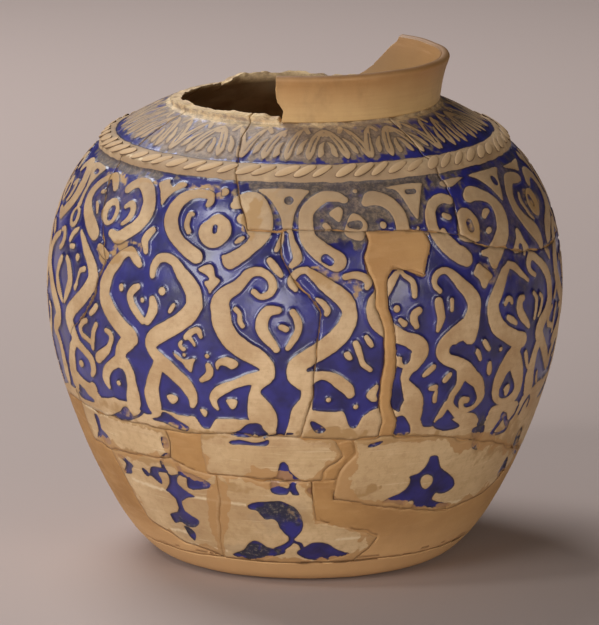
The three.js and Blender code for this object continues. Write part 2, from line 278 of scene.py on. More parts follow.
def to_segment(a: Sequence[float], b: Sequence[float], around: np.ndarray, up: np.ndarray,
               degree: np.ndarray | float) -> tuple[np.ndarray, np.ndarray]:
    """Returns how far places are from a straight line, and how far along it, up to 1.

    Args:
        a: the line's start, as (degrees, millimetres up).
        b: its end.
        around: degrees round of the places.
        up: their millimetres up.
        degree: a degree's width there, in millimetres.
    """
    ax, ay, bx, by = (a[0] - around) * degree, a[1] - up, (b[0] - around) * degree, b[1] - up
    ex, ey = bx - ax, by - ay
    share = np.clip(-(ax * ex + ay * ey) / np.maximum(ex * ex + ey * ey, 1e-9), 0, 1)
    return np.hypot(ax + share * ex, ay + share * ey), share


def cut_back(old: np.ndarray, new: np.ndarray) -> np.ndarray:
    """Joins the distance to a shape that is cut out of what stands."""
    return np.maximum(old, -new)


@dataclass(frozen=True)
class Motif:
    """Carving that goes together.

    A shape is a run of points. With three numbers a point is a stroke's (degrees, millimetres up,
    half width), and with two it is a corner of a closed outline. Both are rounded into curves.

    Args:
        middle: degrees round of its middle.
        raised: shapes left standing in the ground.
        cut: shapes cut back into what stands.
    """

    middle: float
    raised: tuple[Stroke, ...]
    cut: tuple[Stroke, ...] = ()

    def at(self, middle: float, width: float = 1.0) -> "Motif":
        """Returns a copy with its middle moved there and its width scaled."""

        def moved(shapes: Iterable[Stroke]) -> tuple[Stroke, ...]:
            """Returns the shapes of the copy."""
            return tuple(
                tuple((middle + (p[0] - self.middle) * width, *p[1:]) for p in shape) for shape in shapes
            )

        return Motif(middle, moved(self.raised), moved(self.cut))


# A medallion of the upper row: two ribbons round a ringed disc, with its small leaves
MEDALLION = Motif(-52, (
    ((-55.3, 242.4, 1.9), (-56.9, 246, 2.4), (-59.2, 249, 2.2), (-61.6, 246.2, 2.2),
     (-63.6, 242, 2.8), (-64.8, 237.2, 3.2), (-64.8, 232.2, 3.4), (-63.2, 227.2, 3.8),
     (-60.8, 222.8, 4), (-58.2, 218.8, 4.4), (-56.4, 216, 3.8)),
    ((-60.3, 238.6, 1.2), (-59.2, 239, 1.5)),
    ((-60.3, 232.3, 0.8), (-59.2, 230.1, 1.3), (-58.2, 227, 0.9)),
    ((-56.6, 229.6), (-55.8, 234), (-54.2, 237), (-52.4, 237), (-50.6, 233.5), (-49.9, 229),
     (-50.8, 224.5), (-52.6, 222), (-54.4, 223.2), (-56, 226)),
    ((-50.3, 244.4, 3), (-48.6, 248.2, 3), (-46.3, 249, 3.4), (-43.8, 246.2, 4), (-41.8, 241, 4),
     (-41, 235, 4.6), (-41.4, 229.5, 4.2), (-43, 224.6, 3.8), (-45.4, 220.4, 3.6),
     (-47.6, 217.3, 3.4), (-50.4, 218.8, 2.2)),
    ((-48.3, 234.6, 1.5), (-46.9, 236.6, 1.9), (-45.6, 233.8, 1.9), (-45.7, 229.4, 1.9),
     (-46.9, 226, 1.4), (-47.7, 224.9, 1)),
    ((-53.4, 210.2, 1.8), (-51.8, 208.2, 2.4), (-50.2, 206.6, 2.3)),
), (
    ((-53.9, 229.6), (-53.4, 232.6), (-52.4, 233.4), (-51.5, 231.4), (-51.4, 227.6), (-52.2, 224.8),
     (-53.4, 225.4)),
))

# The triangle between two medallions and the leaf under it
BETWEEN = Motif(-37.4, (
    ((-41.1, 250.5), (-40, 252.8), (-38.3, 254), (-37.3, 251.5), (-36, 250), (-35, 252.5),
     (-33.4, 253.8), (-32.2, 251.8), (-33.8, 249), (-35.4, 246.5), (-36.6, 242.5), (-37.3, 238.5),
     (-38.4, 242.5), (-39.6, 247)),
    ((-37.6, 224.5, 2), (-38.1, 223.4, 2.3), (-39.1, 219.5, 2.5), (-38.7, 215.8, 1.9),
     (-38.2, 212.8, 1.4)),
))

# A medallion of the lower row: its ribbons cross over and end in the feet of the field
LATTICE = Motif(-37, (
    ((-35.5, 201, 1.7), (-35.4, 205.5, 2.2), (-34.4, 210, 2.4), (-32.4, 211.4, 2.4),
     (-30.2, 209.6, 2.6), (-28.2, 204.5, 3.4), (-26.2, 199.5, 4.2), (-24.8, 194.5, 4.6),
     (-24.4, 188.5, 4.7)),
    ((-39.4, 205.6, 1.8), (-40.6, 208, 2.6), (-42.6, 211.6, 2.6), (-44.8, 209, 2.6),
     (-46.4, 204.5, 3.6), (-48, 199.3, 3.6), (-49.1, 193, 4.4), (-49.3, 187, 3.8)),
    ((-44, 191.4, 1.6), (-44, 192.4, 1.6)),
    ((-32.6, 193.6, 2.2),),
    ((-39.2, 194, 1.8), (-40.2, 192.4, 2.2), (-41.2, 189, 2.2), (-40.6, 184.5, 2.2),
     (-39, 180, 2.2), (-37.4, 176.6, 2)),
    ((-35, 188.6, 2), (-34.6, 184.5, 2.9), (-35.1, 180.5, 2.6), (-36.2, 176.4, 2)),
    ((-37.7, 187.3, 1.3),),
    ((-29.4, 187.2, 1), (-30, 185, 1.3), (-30.4, 183.4, 1)),
    ((-49.4, 187, 3.8), (-48.5, 182.2, 4.6), (-46.4, 176.4, 4.8), (-44, 171.6, 4.8),
     (-41.4, 167.2, 5.2), (-40.6, 166, 4.4)),
    ((-41.6, 164, 4.6), (-43.6, 159.5, 4), (-44.4, 155.5, 3.8), (-44.6, 151.5, 4.2)),
    ((-45.4, 151.5, 3.2), (-48.2, 147.4, 2.8), (-50.2, 142.5, 2.9), (-50.6, 138, 2.6),
     (-50.1, 134.8, 1.4)),
    ((-43.4, 151, 3.6), (-42.2, 146, 3.4), (-42.1, 141, 3.4), (-42, 136, 4), (-42.4, 130, 5),
     (-42.8, 124.8, 3.2), (-43.2, 121.8, 1.6)),
    ((-46.6, 138.3, 1.2), (-46.2, 138.6, 1.4)),
    ((-24.4, 188.5, 4.4), (-25.5, 183.6, 4.8), (-27.8, 178.6, 4.6), (-31, 173.6, 4.6),
     (-34, 169, 4.6), (-35.3, 164.8, 3.6), (-34.8, 160.8, 3.2), (-33, 156.6, 3.8),
     (-31.2, 153, 4.4)),
    ((-31.2, 153, 4.2), (-29.2, 149.2, 4), (-27, 144.5, 4), (-25.7, 139, 3.2), (-25.6, 135, 2.2),
     (-25.9, 132.6, 1.4)),
    ((-33.4, 154.5, 3.2), (-34.8, 147.5, 3.8), (-35.9, 141, 4.2), (-36.4, 135, 5),
     (-36.2, 129.5, 4.6), (-36.1, 125, 2.4)),
    ((-32.3, 136), (-31.4, 137.8), (-29.9, 137.4), (-29.3, 135.5), (-30.2, 133), (-31.3, 132.6)),
    ((-24.1, 131.2), (-22.9, 131.3), (-22.3, 129.4), (-23.2, 126.8)),
), (
    ((-52, 116.4), (-50.5, 118.6), (-48, 121.3), (-46.4, 124.6), (-45, 125), (-44.3, 122.5),
     (-43.6, 119.8), (-44.5, 117.3), (-47.5, 115.9)),
    ((-43.8, 119.2, 0.8), (-41.6, 121.4, 0.8), (-40.2, 124.2, 1)),
    ((-35.2, 123.4), (-34.2, 126.4), (-32.6, 126.2), (-30.4, 123.2), (-27.6, 119.6), (-28.4, 116.6),
     (-31, 117.4), (-34, 119.8), (-37.6, 121)),
))

# What fills the space under an upper medallion
DROP = Motif(-52, (
    ((-52, 178.6, 1.7), (-53, 176, 1.7), (-54.1, 173.8, 1.4)),
    ((-52, 168.8, 1.5), (-53, 165, 1.6), (-53.6, 160, 1.7), (-54, 155, 1.4)),
    ((-48.6, 167, 1.4), (-47.4, 166.2, 1.7), (-46.9, 163.5, 1.7), (-47.6, 159.6, 1.6),
     (-48.6, 156.4, 2.2), (-50.2, 153.6, 2.6), (-51.8, 151, 2.9), (-52.4, 149.4, 2.4)),
    ((-55.8, 169.2, 1.5), (-57.4, 167.6, 1.8), (-58.6, 164.4, 1.8), (-58, 160.8, 1.8),
     (-56.2, 159.4, 1.6), (-54.6, 158, 1.6)),
))

# The rest of the front, which no two repeats have alike
FRONT = Motif(0, (
    ((-24.2, 247, 2), (-25.4, 248, 2.6), (-28.3, 247.8, 2.6), (-31, 245.5, 3.4),
     (-32.8, 240.5, 3.8), (-33.4, 235, 4.2), (-33.1, 230, 4.2), (-31.8, 225, 3.8),
     (-29.8, 220.5, 3.4), (-27.4, 216.8, 3.6), (-25.2, 214, 3.7), (-24.6, 213.2, 3)),
    ((-24.2, 248, 1.6), (-24, 244, 2), (-24.4, 242.2, 1.6)),
    ((-16.8, 245.5, 3), (-15.3, 247.5, 3), (-12.8, 247.5, 3.6), (-11.1, 243, 4.6),
     (-10.2, 237, 5.4), (-10, 231, 5.6), (-10.6, 225.5, 4.4), (-12.4, 220.5, 3.6),
     (-14.6, 216, 3.8), (-16.8, 212.8, 4.2)),
    ((-17.4, 243.2, 2.6), (-15.4, 243.5, 2.2), (-13.3, 241, 3.4)),
    ((-15.2, 235.6, 2.6), (-13.2, 235, 3.6), (-12.2, 230, 3.4)),
    ((-18.4, 214.6, 1.2), (-17, 213.5, 2.4)),
    ((-23.7, 233), (-22, 236.8), (-20.2, 237), (-18.2, 234), (-17.2, 229), (-17.7, 224.5),
     (-19.6, 220.2), (-21.6, 219), (-23.6, 220.8), (-25.1, 225), (-25.1, 230)),
    ((-27.7, 235.8, 1), (-28.5, 235.8, 1.5), (-28.8, 232.5, 1.6), (-28.7, 229.5, 1.5),
     (-27.8, 226.4, 1.5)),
    ((-15.8, 222.8, 0.8), (-15, 224.2, 1.4), (-14.3, 225.3, 1)),
    ((-21.1, 251.3, 1.6), (-20.7, 250.2, 1.9), (-21.1, 249.2, 1.2)),
    ((-24.1, 207.3), (-21.6, 210.2), (-20.4, 208.5), (-20, 204.5), (-18.8, 202.5), (-19.2, 200.3),
     (-20.2, 197.5), (-21, 194.8), (-21.5, 197.5), (-22.4, 200.8), (-21.2, 202.2), (-22, 204.6)),
    ((-12, 253), (-9.6, 249), (-7.4, 243.5), (-5.8, 237.5), (-5.1, 231), (-4, 229.8), (-3, 231),
     (-2.7, 237), (-1.8, 243), (-0.1, 249), (1, 253), (-4.8, 254)),
    ((-5.1, 228.5, 1), (-5.5, 224.5, 1.4), (-6.4, 219.6, 1.2)),
    ((-3.2, 228.5, 1.2), (-2.8, 224, 1.5), (-2, 219.5, 2.2), (-1.6, 215, 2.3), (-3, 211.2, 1.4)),
    ((-7.8, 214, 1.7), (-6.6, 210.5, 2.2), (-5.2, 206.6, 1.4)),
    ((-22.8, 172, 1.2), (-23.4, 175.4, 1.5), (-24.6, 174.6, 1.7), (-26, 171.8, 1.7),
     (-26.4, 170.4, 1.2)),
    ((-25.6, 171, 1.3), (-24.6, 168.5, 1), (-24.3, 167, 0.8)),
    ((-27.4, 168.3, 0.9), (-27.8, 166.5, 1), (-27.2, 164.3, 1.1), (-26.7, 164.5, 1)),
    ((-26.9, 161.2, 1),),
    ((-29.6, 161.8), (-28.6, 160.6), (-26.8, 158.8), (-24.2, 159.8), (-24.7, 157), (-25.3, 152),
     (-26.6, 154), (-27.4, 156.6), (-28.8, 158.8)),
    ((-19.5, 158.8), (-17.5, 162), (-15.2, 160.9), (-14.4, 158.4), (-15.8, 155.5), (-17.2, 157),
     (-18.4, 157.3), (-19.2, 154.4)),
    ((-21.4, 161.9, 1.2),),
    ((-21.2, 156.6, 1.6), (-20.9, 153.4, 2.1), (-21.6, 150.4, 1.9), (-23, 148.3, 1.4)),
    ((-62.4, 214.6, 1.2), (-60.4, 211, 2), (-58.2, 206.2, 2.9), (-55.9, 201.6, 3.4),
     (-54.3, 196.6, 4.2), (-54.1, 191.5, 4.4), (-55.2, 187, 4.4), (-56.8, 183, 4.4),
     (-59, 178.6, 4.4), (-61.8, 173.6, 4.4), (-63.8, 168.5, 4.8), (-63.6, 163.8, 4.6),
     (-62.2, 159, 4), (-61, 155.3, 3.6)),
    ((-60.4, 154.4, 2.8), (-57.8, 151.6, 2.6), (-55.8, 149, 2.8), (-55, 145.6, 2.7),
     (-55.2, 141.6, 2.2), (-56.2, 138.6, 1.4)),
    ((-62.6, 153.6, 3), (-64.2, 149, 3.6), (-65, 143.5, 4.2), (-66, 137, 5.2), (-66.2, 131, 5),
     (-66.4, 126.8, 2.6)),
    ((-65, 134, 4.2), (-61, 131.2, 2.8), (-58, 130, 3), (-56.8, 130.8, 3.4)),
    ((-60.6, 142.8, 2), (-60, 143.4, 1.9)),
    ((-60.4, 187, 1.2), (-61.2, 184.4, 1.5)),
    ((-70.2, 196.2, 2.2), (-71.3, 193, 2.6), (-72, 188.5, 2.4), (-71.9, 184.5, 2.6),
     (-70.8, 180.5, 3), (-69.2, 177, 2.2), (-67.8, 174.2, 1.3)),
    ((-67, 198, 1.8), (-65.6, 195.6, 2.3), (-64.5, 191.5, 2.8), (-63.9, 187.5, 2.8),
     (-64.4, 183.5, 3), (-65.6, 178.6, 2.3), (-66.6, 174.4, 1.2)),
    ((-61.5, 200.8, 2.2),),
    ((-57.8, 196.2, 1.6), (-59.4, 194.6, 1.3), (-60, 191.2, 1), (-60.6, 187.5, 1.1),
     (-61.3, 184.8, 1.3)),
    ((-64.3, 215, 1.4), (-66, 212.2, 1.9), (-67, 208.4, 1.9)),
    ((-66, 205, 1.4), (-64.3, 205.6, 1.5)),
    ((-73.8, 210.8, 1.4), (-72.2, 211.6, 1.7), (-70.9, 208.2, 2.2), (-71.2, 204, 2.2),
     (-72.6, 201.2, 1.5)),
    ((-75, 208, 1.8), (-78, 204, 2.6), (-80.5, 199, 3.4), (-81.2, 193, 4.2), (-80.2, 187, 4.2),
     (-77.8, 182, 4.4), (-75.5, 177, 4.4), (-73, 172.5, 4.4), (-70.9, 167.5, 4.4),
     (-71.2, 163, 4.2), (-73.3, 159, 3.8), (-74.6, 155, 3.6)),
    ((-73.4, 153.6, 3), (-72, 149, 3), (-71.6, 143, 3.6), (-71.8, 136, 4.4), (-72.3, 130, 4.2),
     (-72.3, 126.5, 2.6)),
    ((-74.4, 250.5), (-72, 252), (-67, 252), (-65.6, 250), (-66.8, 246), (-68, 240), (-68, 234),
     (-67.4, 227), (-69.2, 226), (-69.3, 231), (-69.6, 238), (-71.2, 243.5), (-73, 247.5)),
    ((-68.2, 220.3, 5.9),),
    ((-11.1, 197.4, 1.6), (-9.6, 195, 1.5), (-7.6, 196.7, 1.9), (-6.9, 200.8, 2.2),
     (-7.7, 205.2, 2.2), (-9.9, 208.2, 2.3), (-12.2, 206.9, 2.6), (-13.6, 203, 2.8),
     (-15.2, 199, 3.4), (-17.5, 195.2, 4), (-18.5, 190.5, 5), (-18.3, 185.5, 5.3),
     (-18, 180.5, 5.3), (-17.2, 176, 5.2), (-15.6, 170.8, 5.2), (-12.8, 166, 5.1),
     (-10.2, 162.6, 4.8), (-8.2, 158.3, 3.9), (-8.2, 153.5, 4.2)),
    ((-8.6, 152, 4.2), (-12.2, 150.3, 3), (-15.2, 147.6, 2.3), (-17.6, 144.9, 2.8),
     (-19.4, 142, 2.8), (-20.5, 138.5, 2.2), (-20.4, 135, 1.7), (-19.8, 132.4, 1)),
    ((-9.4, 150.5, 4), (-10.6, 145.6, 2.7), (-10.9, 141, 3.4), (-10.2, 135, 6), (-9.4, 129, 7.4),
     (-8.2, 123.5, 4.2), (-8.1, 120.5, 2.2)),
    ((-17.6, 138), (-16.2, 138.8), (-15, 137.8), (-15.4, 134.6), (-16.3, 132.6), (-17, 134.4)),
    ((0.4, 209.4, 1.8), (-1.4, 208.4, 1.9), (-2.8, 205, 1.9), (-2.9, 202, 1.8), (-2, 199.4, 1.4)),
    ((0.4, 209.2, 1.8), (2.2, 206.2, 2.6), (4.4, 201.6, 3.6), (6.8, 197.3, 4.2), (8.8, 192.6, 4.4),
     (9.6, 187.5, 3.8), (9.4, 183, 4.4), (8.3, 177.5, 4.8), (6.2, 172, 5), (3.4, 167, 4.8),
     (0.4, 162.6, 4.6), (-1.6, 158.5, 4.8), (-1.6, 153.5, 5.4), (-0.2, 149.5, 4.6)),
    ((0.5, 151.5, 4.2), (3.2, 153.4, 2.4), (5.6, 152.3, 2.8), (7.6, 149, 3.4), (9.3, 145.4, 3.2),
     (9.9, 142.4, 2.4)),
    ((0.2, 149, 3.4), (0.5, 143, 3.1), (0.2, 138, 3.6), (-0.6, 132.5, 5.4), (-0.4, 127, 7)),
    ((5.2, 139.5, 1.4),),
    ((-5.7, 188.2, 2), (-7.8, 187.6, 2.8), (-9, 183.5, 3.2), (-9.2, 178.4, 3.3), (-8.4, 174.4, 2.9),
     (-7, 170.6, 2.4), (-6.1, 167.4, 1.8)),
    ((-2.6, 187.4, 1.7), (-1.7, 184, 1.9), (-1.3, 179.4, 1.9), (-1.9, 175, 1.8), (-3, 170.6, 1.6),
     (-3.7, 168, 1.2)),
    ((-5, 179.4, 1.5), (-4, 178.4, 1.7)),
    ((-15, 188, 1.3), (-14.1, 185.5, 1.3), (-14, 182, 1.4), (-13.4, 179.2, 1.3)),
    ((2.6, 194.2, 1), (3.8, 192, 1.6), (4.9, 188.4, 1.7), (4.6, 186.2, 1.2)),
    ((10, 247, 2), (8, 249, 3), (5, 249.1, 3.4), (2.3, 245.3, 3.6), (0.5, 240.3, 3.6),
     (0.2, 235, 3.8), (0.4, 229.6, 4), (1, 225, 4.4), (2.9, 220.4, 5), (5.2, 216.2, 5.4),
     (7, 213.6, 5.4)),
    ((12, 239.2), (13.8, 236.6), (14.9, 232.5), (14.2, 227.5), (13.2, 224.2), (11.6, 224.6),
     (9.8, 226.5), (9.2, 229.2), (9.9, 233.5), (10.8, 237.5)),
    ((6.2, 240.5), (8, 243), (9.2, 241.5), (9, 237.5), (8.2, 234.5), (7.2, 236), (6, 238.6)),
    ((4.8, 232.8, 1.5), (5.6, 231.2, 1.5)),
    ((15.4, 245, 2.4), (17.2, 247.4, 4.2), (19.8, 245.8, 4), (22, 242, 3.8), (23.2, 236.8, 3.8),
     (23.5, 231, 3.8), (23.4, 228, 3.8)),
    ((18.7, 231.8, 1.9),),
    ((13.1, 252, 1.3),),
    ((21.4, 253), (24, 251), (25.6, 244), (26.6, 237.5), (27.8, 233.2), (28.8, 238.5), (30.2, 245),
     (31.6, 251), (32, 253.4), (27, 254.2)),
    ((27.2, 228.4, 1.2),),
    ((8.9, 205.4, 1.7), (11, 206.2, 1.9), (13, 204.8, 2.2), (14, 202.4, 2.2), (13.6, 199.4, 1.5)),
    ((20.5, 205.5, 1.6), (19, 201, 2.4), (17.2, 196.5, 3.6), (15.4, 191.5, 4.2), (15, 186, 4.2),
     (16, 180.5, 4.4), (18.6, 175.6, 4.4), (21.4, 171.6, 3.8), (25, 167.4, 4.6), (25.6, 162.5, 4.6),
     (23.9, 157.2, 4.6)),
    ((22.6, 157, 3), (20.2, 159.5, 2.6)),
    ((23.4, 156.4, 4), (22.3, 150.5, 2.6), (22.4, 147, 2.3), (23.6, 142, 4), (24.8, 136.5, 5.4),
     (24.6, 130, 6.6), (25.6, 124.5, 3.6), (25.9, 121.5, 2.2)),
    ((21.2, 208.3, 1), (22.2, 204.6, 1.2), (24, 201.2, 1.6), (24.4, 197.3, 1.8), (24.4, 193.3, 1.5)),
    ((30.7, 194.2, 1.4), (29.6, 197.3, 1.6), (29.6, 201.3, 1.8), (31.2, 204.4, 1.7), (33.2, 204, 2),
     (35, 200.2, 2.8), (36.6, 195.8, 3.4), (38.4, 191.2, 4), (39.6, 186.5, 4.6), (39.6, 182, 4.6),
     (39, 177.5, 5.2), (38.2, 171.5, 6), (38.4, 167, 3.8)),
    ((37, 172.4, 5.6), (34, 169.3, 4.6), (31.8, 165, 4.8), (31, 161, 3.6), (32.6, 156.8, 3.2),
     (35.6, 153.6, 3.6), (37.8, 149.4, 4.4), (39.8, 145, 4), (41.8, 141.2, 3.6), (43, 136.5, 3.2),
     (43.6, 131.5, 2.6), (42.6, 127.6, 1.6), (40.8, 125.6, 1.5), (38.9, 126, 1.6), (37.9, 129, 1.5),
     (38, 132, 1.9), (39.5, 131.5, 1.9)),
    ((25.3, 185.4, 1.9), (24.2, 183.6, 2.3), (24, 180.4, 2.2), (24.6, 177.4, 1.7)),
    ((30.2, 188.6, 2.6), (30.5, 184, 2.7), (30.7, 180, 2.4), (30.2, 176.2, 1.8), (29.8, 173.6, 1.2)),
    ((20.1, 187.2, 1.9),),
    ((20.8, 181.2, 1.3), (21.8, 179, 1.7)),
    ((33.6, 188.5, 1.4), (33.6, 187, 1.2), (33.5, 183.5, 1.2)),
    ((10.9, 170.4, 1.6), (11.4, 167.5, 1.8), (12, 163, 1.5), (12.6, 158.8, 1.5), (14.2, 155.6, 1.3)),
    ((13.2, 173.4, 1.2), (13.8, 171, 1.6), (14.4, 168.8, 1.2)),
    ((8.4, 165.5), (9.3, 166.2), (10, 163.8), (10.2, 161.8), (9.4, 161.4), (8.6, 163.2)),
    ((11.3, 134.9, 1.4),),
    ((13.6, 142), (14.6, 145), (16, 147.4), (16.3, 145), (15.8, 141.5), (16.2, 138), (15, 137.5),
     (13.9, 139.4)),
    ((29, 153.8, 1.7), (27.8, 151.6, 1.8), (26.9, 149.9, 1.3)),
    ((33.4, 148, 1.7), (32.4, 145.6, 1.8)),
    ((28.8, 141.8, 1.4), (30, 142, 1.8)),
    ((30.4, 139.6, 1), (30.2, 137, 1.4), (30.3, 134, 1.3)),
    ((36.4, 150, 2.6), (36.7, 145, 2.8), (36.2, 140.5, 2.2), (34.9, 136, 2.2), (34.6, 131, 2.2),
     (36.4, 126, 2.2), (39, 121.8, 2.8), (42, 119.6, 3), (43.6, 117, 2.4)),
    ((33.7, 131, 2.2), (32.6, 126, 2), (31.6, 122, 1.6)),
    ((38.2, 241.8, 2.8), (36, 243.2, 2.8), (33.4, 241.1, 2.8), (31.8, 236.8, 3), (31.2, 231, 3.4),
     (31.4, 226.6, 3.2), (32.3, 221.3, 3.4), (34.6, 215.5, 4.2), (37.2, 211.5, 5),
     (38.6, 209.2, 4.4)),
    ((33.9, 225.4, 1.6), (34.6, 222.2, 1.6), (36, 218.8, 1.2), (37.2, 216.2, 1)),
    ((35.2, 233.6, 1.5), (36.4, 232.4, 1.8)),
    ((40.7, 235.8), (42.8, 235.1), (44.5, 230.4), (44.8, 226), (43.9, 218.8), (43.1, 216.6),
     (40.1, 217.4), (38, 219.5), (37.9, 223.9), (38.6, 229.7), (39.2, 233.3)),
    ((44.6, 241.3, 3.4), (46.6, 242.8, 4.4), (49.6, 240.6, 3.6), (52, 236.8, 3.4),
     (53.2, 231.3, 4.4), (53, 225, 4.8), (51.8, 218.5, 4.8), (49.4, 212.6, 5), (47.4, 208.5, 5.2),
     (46.8, 203.8, 3)),
    ((47.4, 209.4, 3.4), (43.9, 210.2, 1.6)),
    ((47.3, 229.4, 1.7), (48.2, 231.2, 1.9), (49.3, 231.8, 1.2)),
    ((47, 221, 1.5), (47.7, 221.6, 1.6)),
    ((48.7, 253.5), (51.3, 249.9), (53.7, 244.1), (55.2, 238.3), (56.4, 234.7), (57.2, 237.6),
     (58.7, 243.4), (60.5, 249.2), (62.6, 253.3), (56, 253.9)),
    ((38, 250), (41, 248.8), (44, 251.2), (46.4, 253), (42, 253.8), (38, 252.6)),
    ((57.7, 218.8), (58.6, 216.6), (59.3, 212.3), (60.8, 206.5), (59, 205.1), (58.7, 202.9),
     (56.7, 205.1), (54.3, 206.5), (54.9, 210.1), (56.4, 213.8), (56.8, 217.4)),
    ((41.9, 205.4), (43.3, 202.9), (45.7, 197.9), (44.5, 195), (43.2, 191.7), (42.2, 192.8),
     (41.6, 197.1), (40.2, 200), (40.7, 202.9)),
    ((51.6, 201.2, 1.6), (49.7, 197.5, 3), (48, 192, 3.8), (46.6, 187, 4.2), (45.4, 182.5, 4.2),
     (45.5, 176, 4.8), (46.8, 170, 5), (49.5, 165, 4.4), (53, 160.6, 4.6), (56.2, 158.4, 4.2)),
    ((51.6, 201.4, 1.8), (53.8, 199, 2.2), (55.6, 195.2, 1.9), (57.2, 192.4, 1.4), (58.6, 189.8, 1)),
    ((61.8, 191.4, 1.4), (60, 194, 1.6), (59.4, 198, 2.2), (60.4, 201.6, 2.4), (62, 201.4, 2.4),
     (64.6, 197.4, 2.6), (66.8, 193.4, 3.2), (68.6, 189, 3.6), (69.5, 184, 3.8), (69.7, 179, 4),
     (69.4, 174, 4.2), (67.6, 168.6, 4), (64.6, 163.4, 4.8), (63.8, 158.8, 4.6), (65.6, 154, 3.6)),
    ((49.4, 181.2, 1.4), (50.2, 183.2, 1.6), (51.4, 182.6, 1.5), (51.7, 180.8, 1.2)),
    ((50.2, 173.4, 1.5), (51.6, 171.4, 1.9), (53.2, 169, 1.2)),
    ((56, 181.4, 1.8), (54.9, 180.8, 2.4), (54.5, 177, 2.8), (55.2, 173, 2.8), (56.6, 169.5, 2.5),
     (57.9, 166.4, 1.8), (58.5, 164.6, 1)),
    ((60.6, 182.2, 1.2), (61.9, 178.4, 1.7), (61.6, 173.2, 1.6), (60.8, 168.2, 1.2)),
    ((63.8, 180, 1.2), (64.8, 177, 1.5), (63.8, 171.5, 1.4), (62.8, 168.8, 1)),
    ((54.6, 158, 4.4), (53.4, 153, 5), (51.6, 148.5, 5.6), (49.4, 141, 5), (48.8, 134, 3.8),
     (49.8, 128.5, 3), (53, 125.4, 2.8), (56.6, 126.5, 4.4), (57.4, 132, 4.4), (56.2, 140, 5),
     (54.4, 147, 5.4), (53, 152, 5)),
    ((39.8, 160.2, 1.3), (40.9, 157.8, 1.5), (41.7, 154, 1.2)),
    ((42.6, 163.2, 1.5), (43.4, 160.8, 1.7), (44.2, 158.6, 1.3)),
    ((44.8, 150.2, 1.5), (45, 146.8, 1.9), (45.2, 144.8, 1.4)),
    ((48.1, 157, 1.3),),
    ((58.2, 150.2, 1.6), (59, 146.8, 1.8), (59.8, 143, 1.3), (60.4, 141, 1)),
    ((65.6, 154, 3.4), (67.6, 149.4, 3.4), (70, 144, 3.6), (72.2, 138.4, 3), (73.8, 134.4, 2)),
    ((64.2, 154, 3.6), (63, 148.5, 3.4), (62.4, 142, 4), (62.4, 135, 4.8), (63.4, 128.5, 5.4)),
    ((66.6, 135, 1.2), (67, 132, 1.4), (68, 129, 1.2)),
    ((70, 243.2, 2.6), (67.6, 244.2, 3.6), (64.4, 244.6, 3.4), (61.8, 240.2, 3.2), (60.4, 235, 3.2),
     (60.4, 229, 3.4), (61.6, 223.4, 3.6), (63.4, 218.4, 4.4), (65.6, 213.8, 5), (67, 209.5, 4.4),
     (67.4, 205.6, 3)),
    ((65.2, 235.2, 1.2), (64.4, 231.8, 1.6), (65, 227.8, 1.5), (66, 222.8, 1.3), (67.4, 219.8, 1)),
    ((74, 238, 2.4), (76.5, 242, 3.4), (79.5, 242, 3.4), (82, 237, 3.6), (83, 230, 3.8),
     (82, 223, 4), (79.5, 217.5, 4.2), (76, 213.5, 4.6), (74, 209, 4.2), (72.8, 206, 2.6)),
    ((70.7, 235.6), (72.6, 234.6), (73.8, 230), (73.6, 224.6), (71.6, 220), (69.6, 220.6),
     (67.8, 224), (67.4, 229), (68.6, 233.4)),
    ((69.8, 202, 1.8), (71, 199.4, 2.2), (71.6, 196.4, 1.4)),
    ((66, 252), (71, 252), (78, 252), (75, 248), (73, 245.8), (71, 248)),
), (
    ((-21.4, 230.2, 1.4), (-21.3, 228, 1.5)),
    ((-4, 246.9, 2.5),),
    ((-69.9, 247.2, 1.6), (-68.6, 247, 1.6)),
    ((-68.4, 222.4, 2.2), (-68.3, 219.6, 2.3)),
    ((4.6, 215.2, 2.4), (5.6, 213.6, 2.4)),
    ((11, 232.8, 2), (12.6, 232.6, 2.6)),
    ((27.2, 249.2, 1.6), (29, 249.2, 1.6)),
    ((41.9, 227.4, 2.2), (42, 224.2, 2.2)),
    ((57.4, 247.4, 2.2), (57.4, 246, 2.4)),
    ((57.4, 208.4, 2), (57.4, 206.8, 2.2)),
    ((69.6, 231, 1.8), (70.2, 227, 1.9)),
    ((34, 162, 2.8), (36.6, 161, 3.2), (39, 160, 3)),
    ((-66.5, 122.6), (-64.7, 125.2), (-63.8, 128), (-61.8, 128.1), (-60.3, 125.2), (-57.9, 123),
     (-58.5, 121.6), (-61.5, 120.9), (-64.1, 120.9)),
    ((-17.8, 117.2), (-15, 120.6), (-13.2, 124.4), (-11.4, 125.4), (-10, 124.6), (-9.3, 121.6),
     (-8.2, 118.2), (-10.2, 117), (-11.6, 118.6), (-13, 116.4)),
    ((-8, 118.4, 0.7), (-5.4, 119.2, 0.9), (-2.8, 119.6, 0.6)),
    ((1.2, 127), (2.6, 126.4), (4.8, 122), (3.2, 119.8), (1.8, 122.2)),
    ((20.7, 127), (22.5, 127.7), (23.7, 125.2), (24.9, 120.1), (24.7, 115.8), (21.9, 115.8),
     (19.9, 118), (19.4, 121.6), (20.4, 125.2)),
    ((17.2, 119.5), (18.2, 121.5), (19, 121.8), (19, 119.5), (18, 118.6)),
    ((30.8, 119.5), (32.6, 123.4), (34.6, 123.6), (37, 119.8), (38.9, 116.2), (36, 114.8),
     (33, 116)),
    ((53.4, 118.4), (54.4, 117.8), (55.4, 115.4), (54.4, 113.6), (53, 115.6)),
    ((19.6, 154.8), (20.7, 152.6), (21.3, 146.1), (21.5, 140.3), (20.7, 136), (19.9, 134.6),
     (19.3, 137.5), (19.1, 144.7), (19.1, 151.9)),
    ((18.6, 169.8), (20.6, 168.4), (22.4, 166.4), (23.3, 163), (23.2, 159), (22.2, 157),
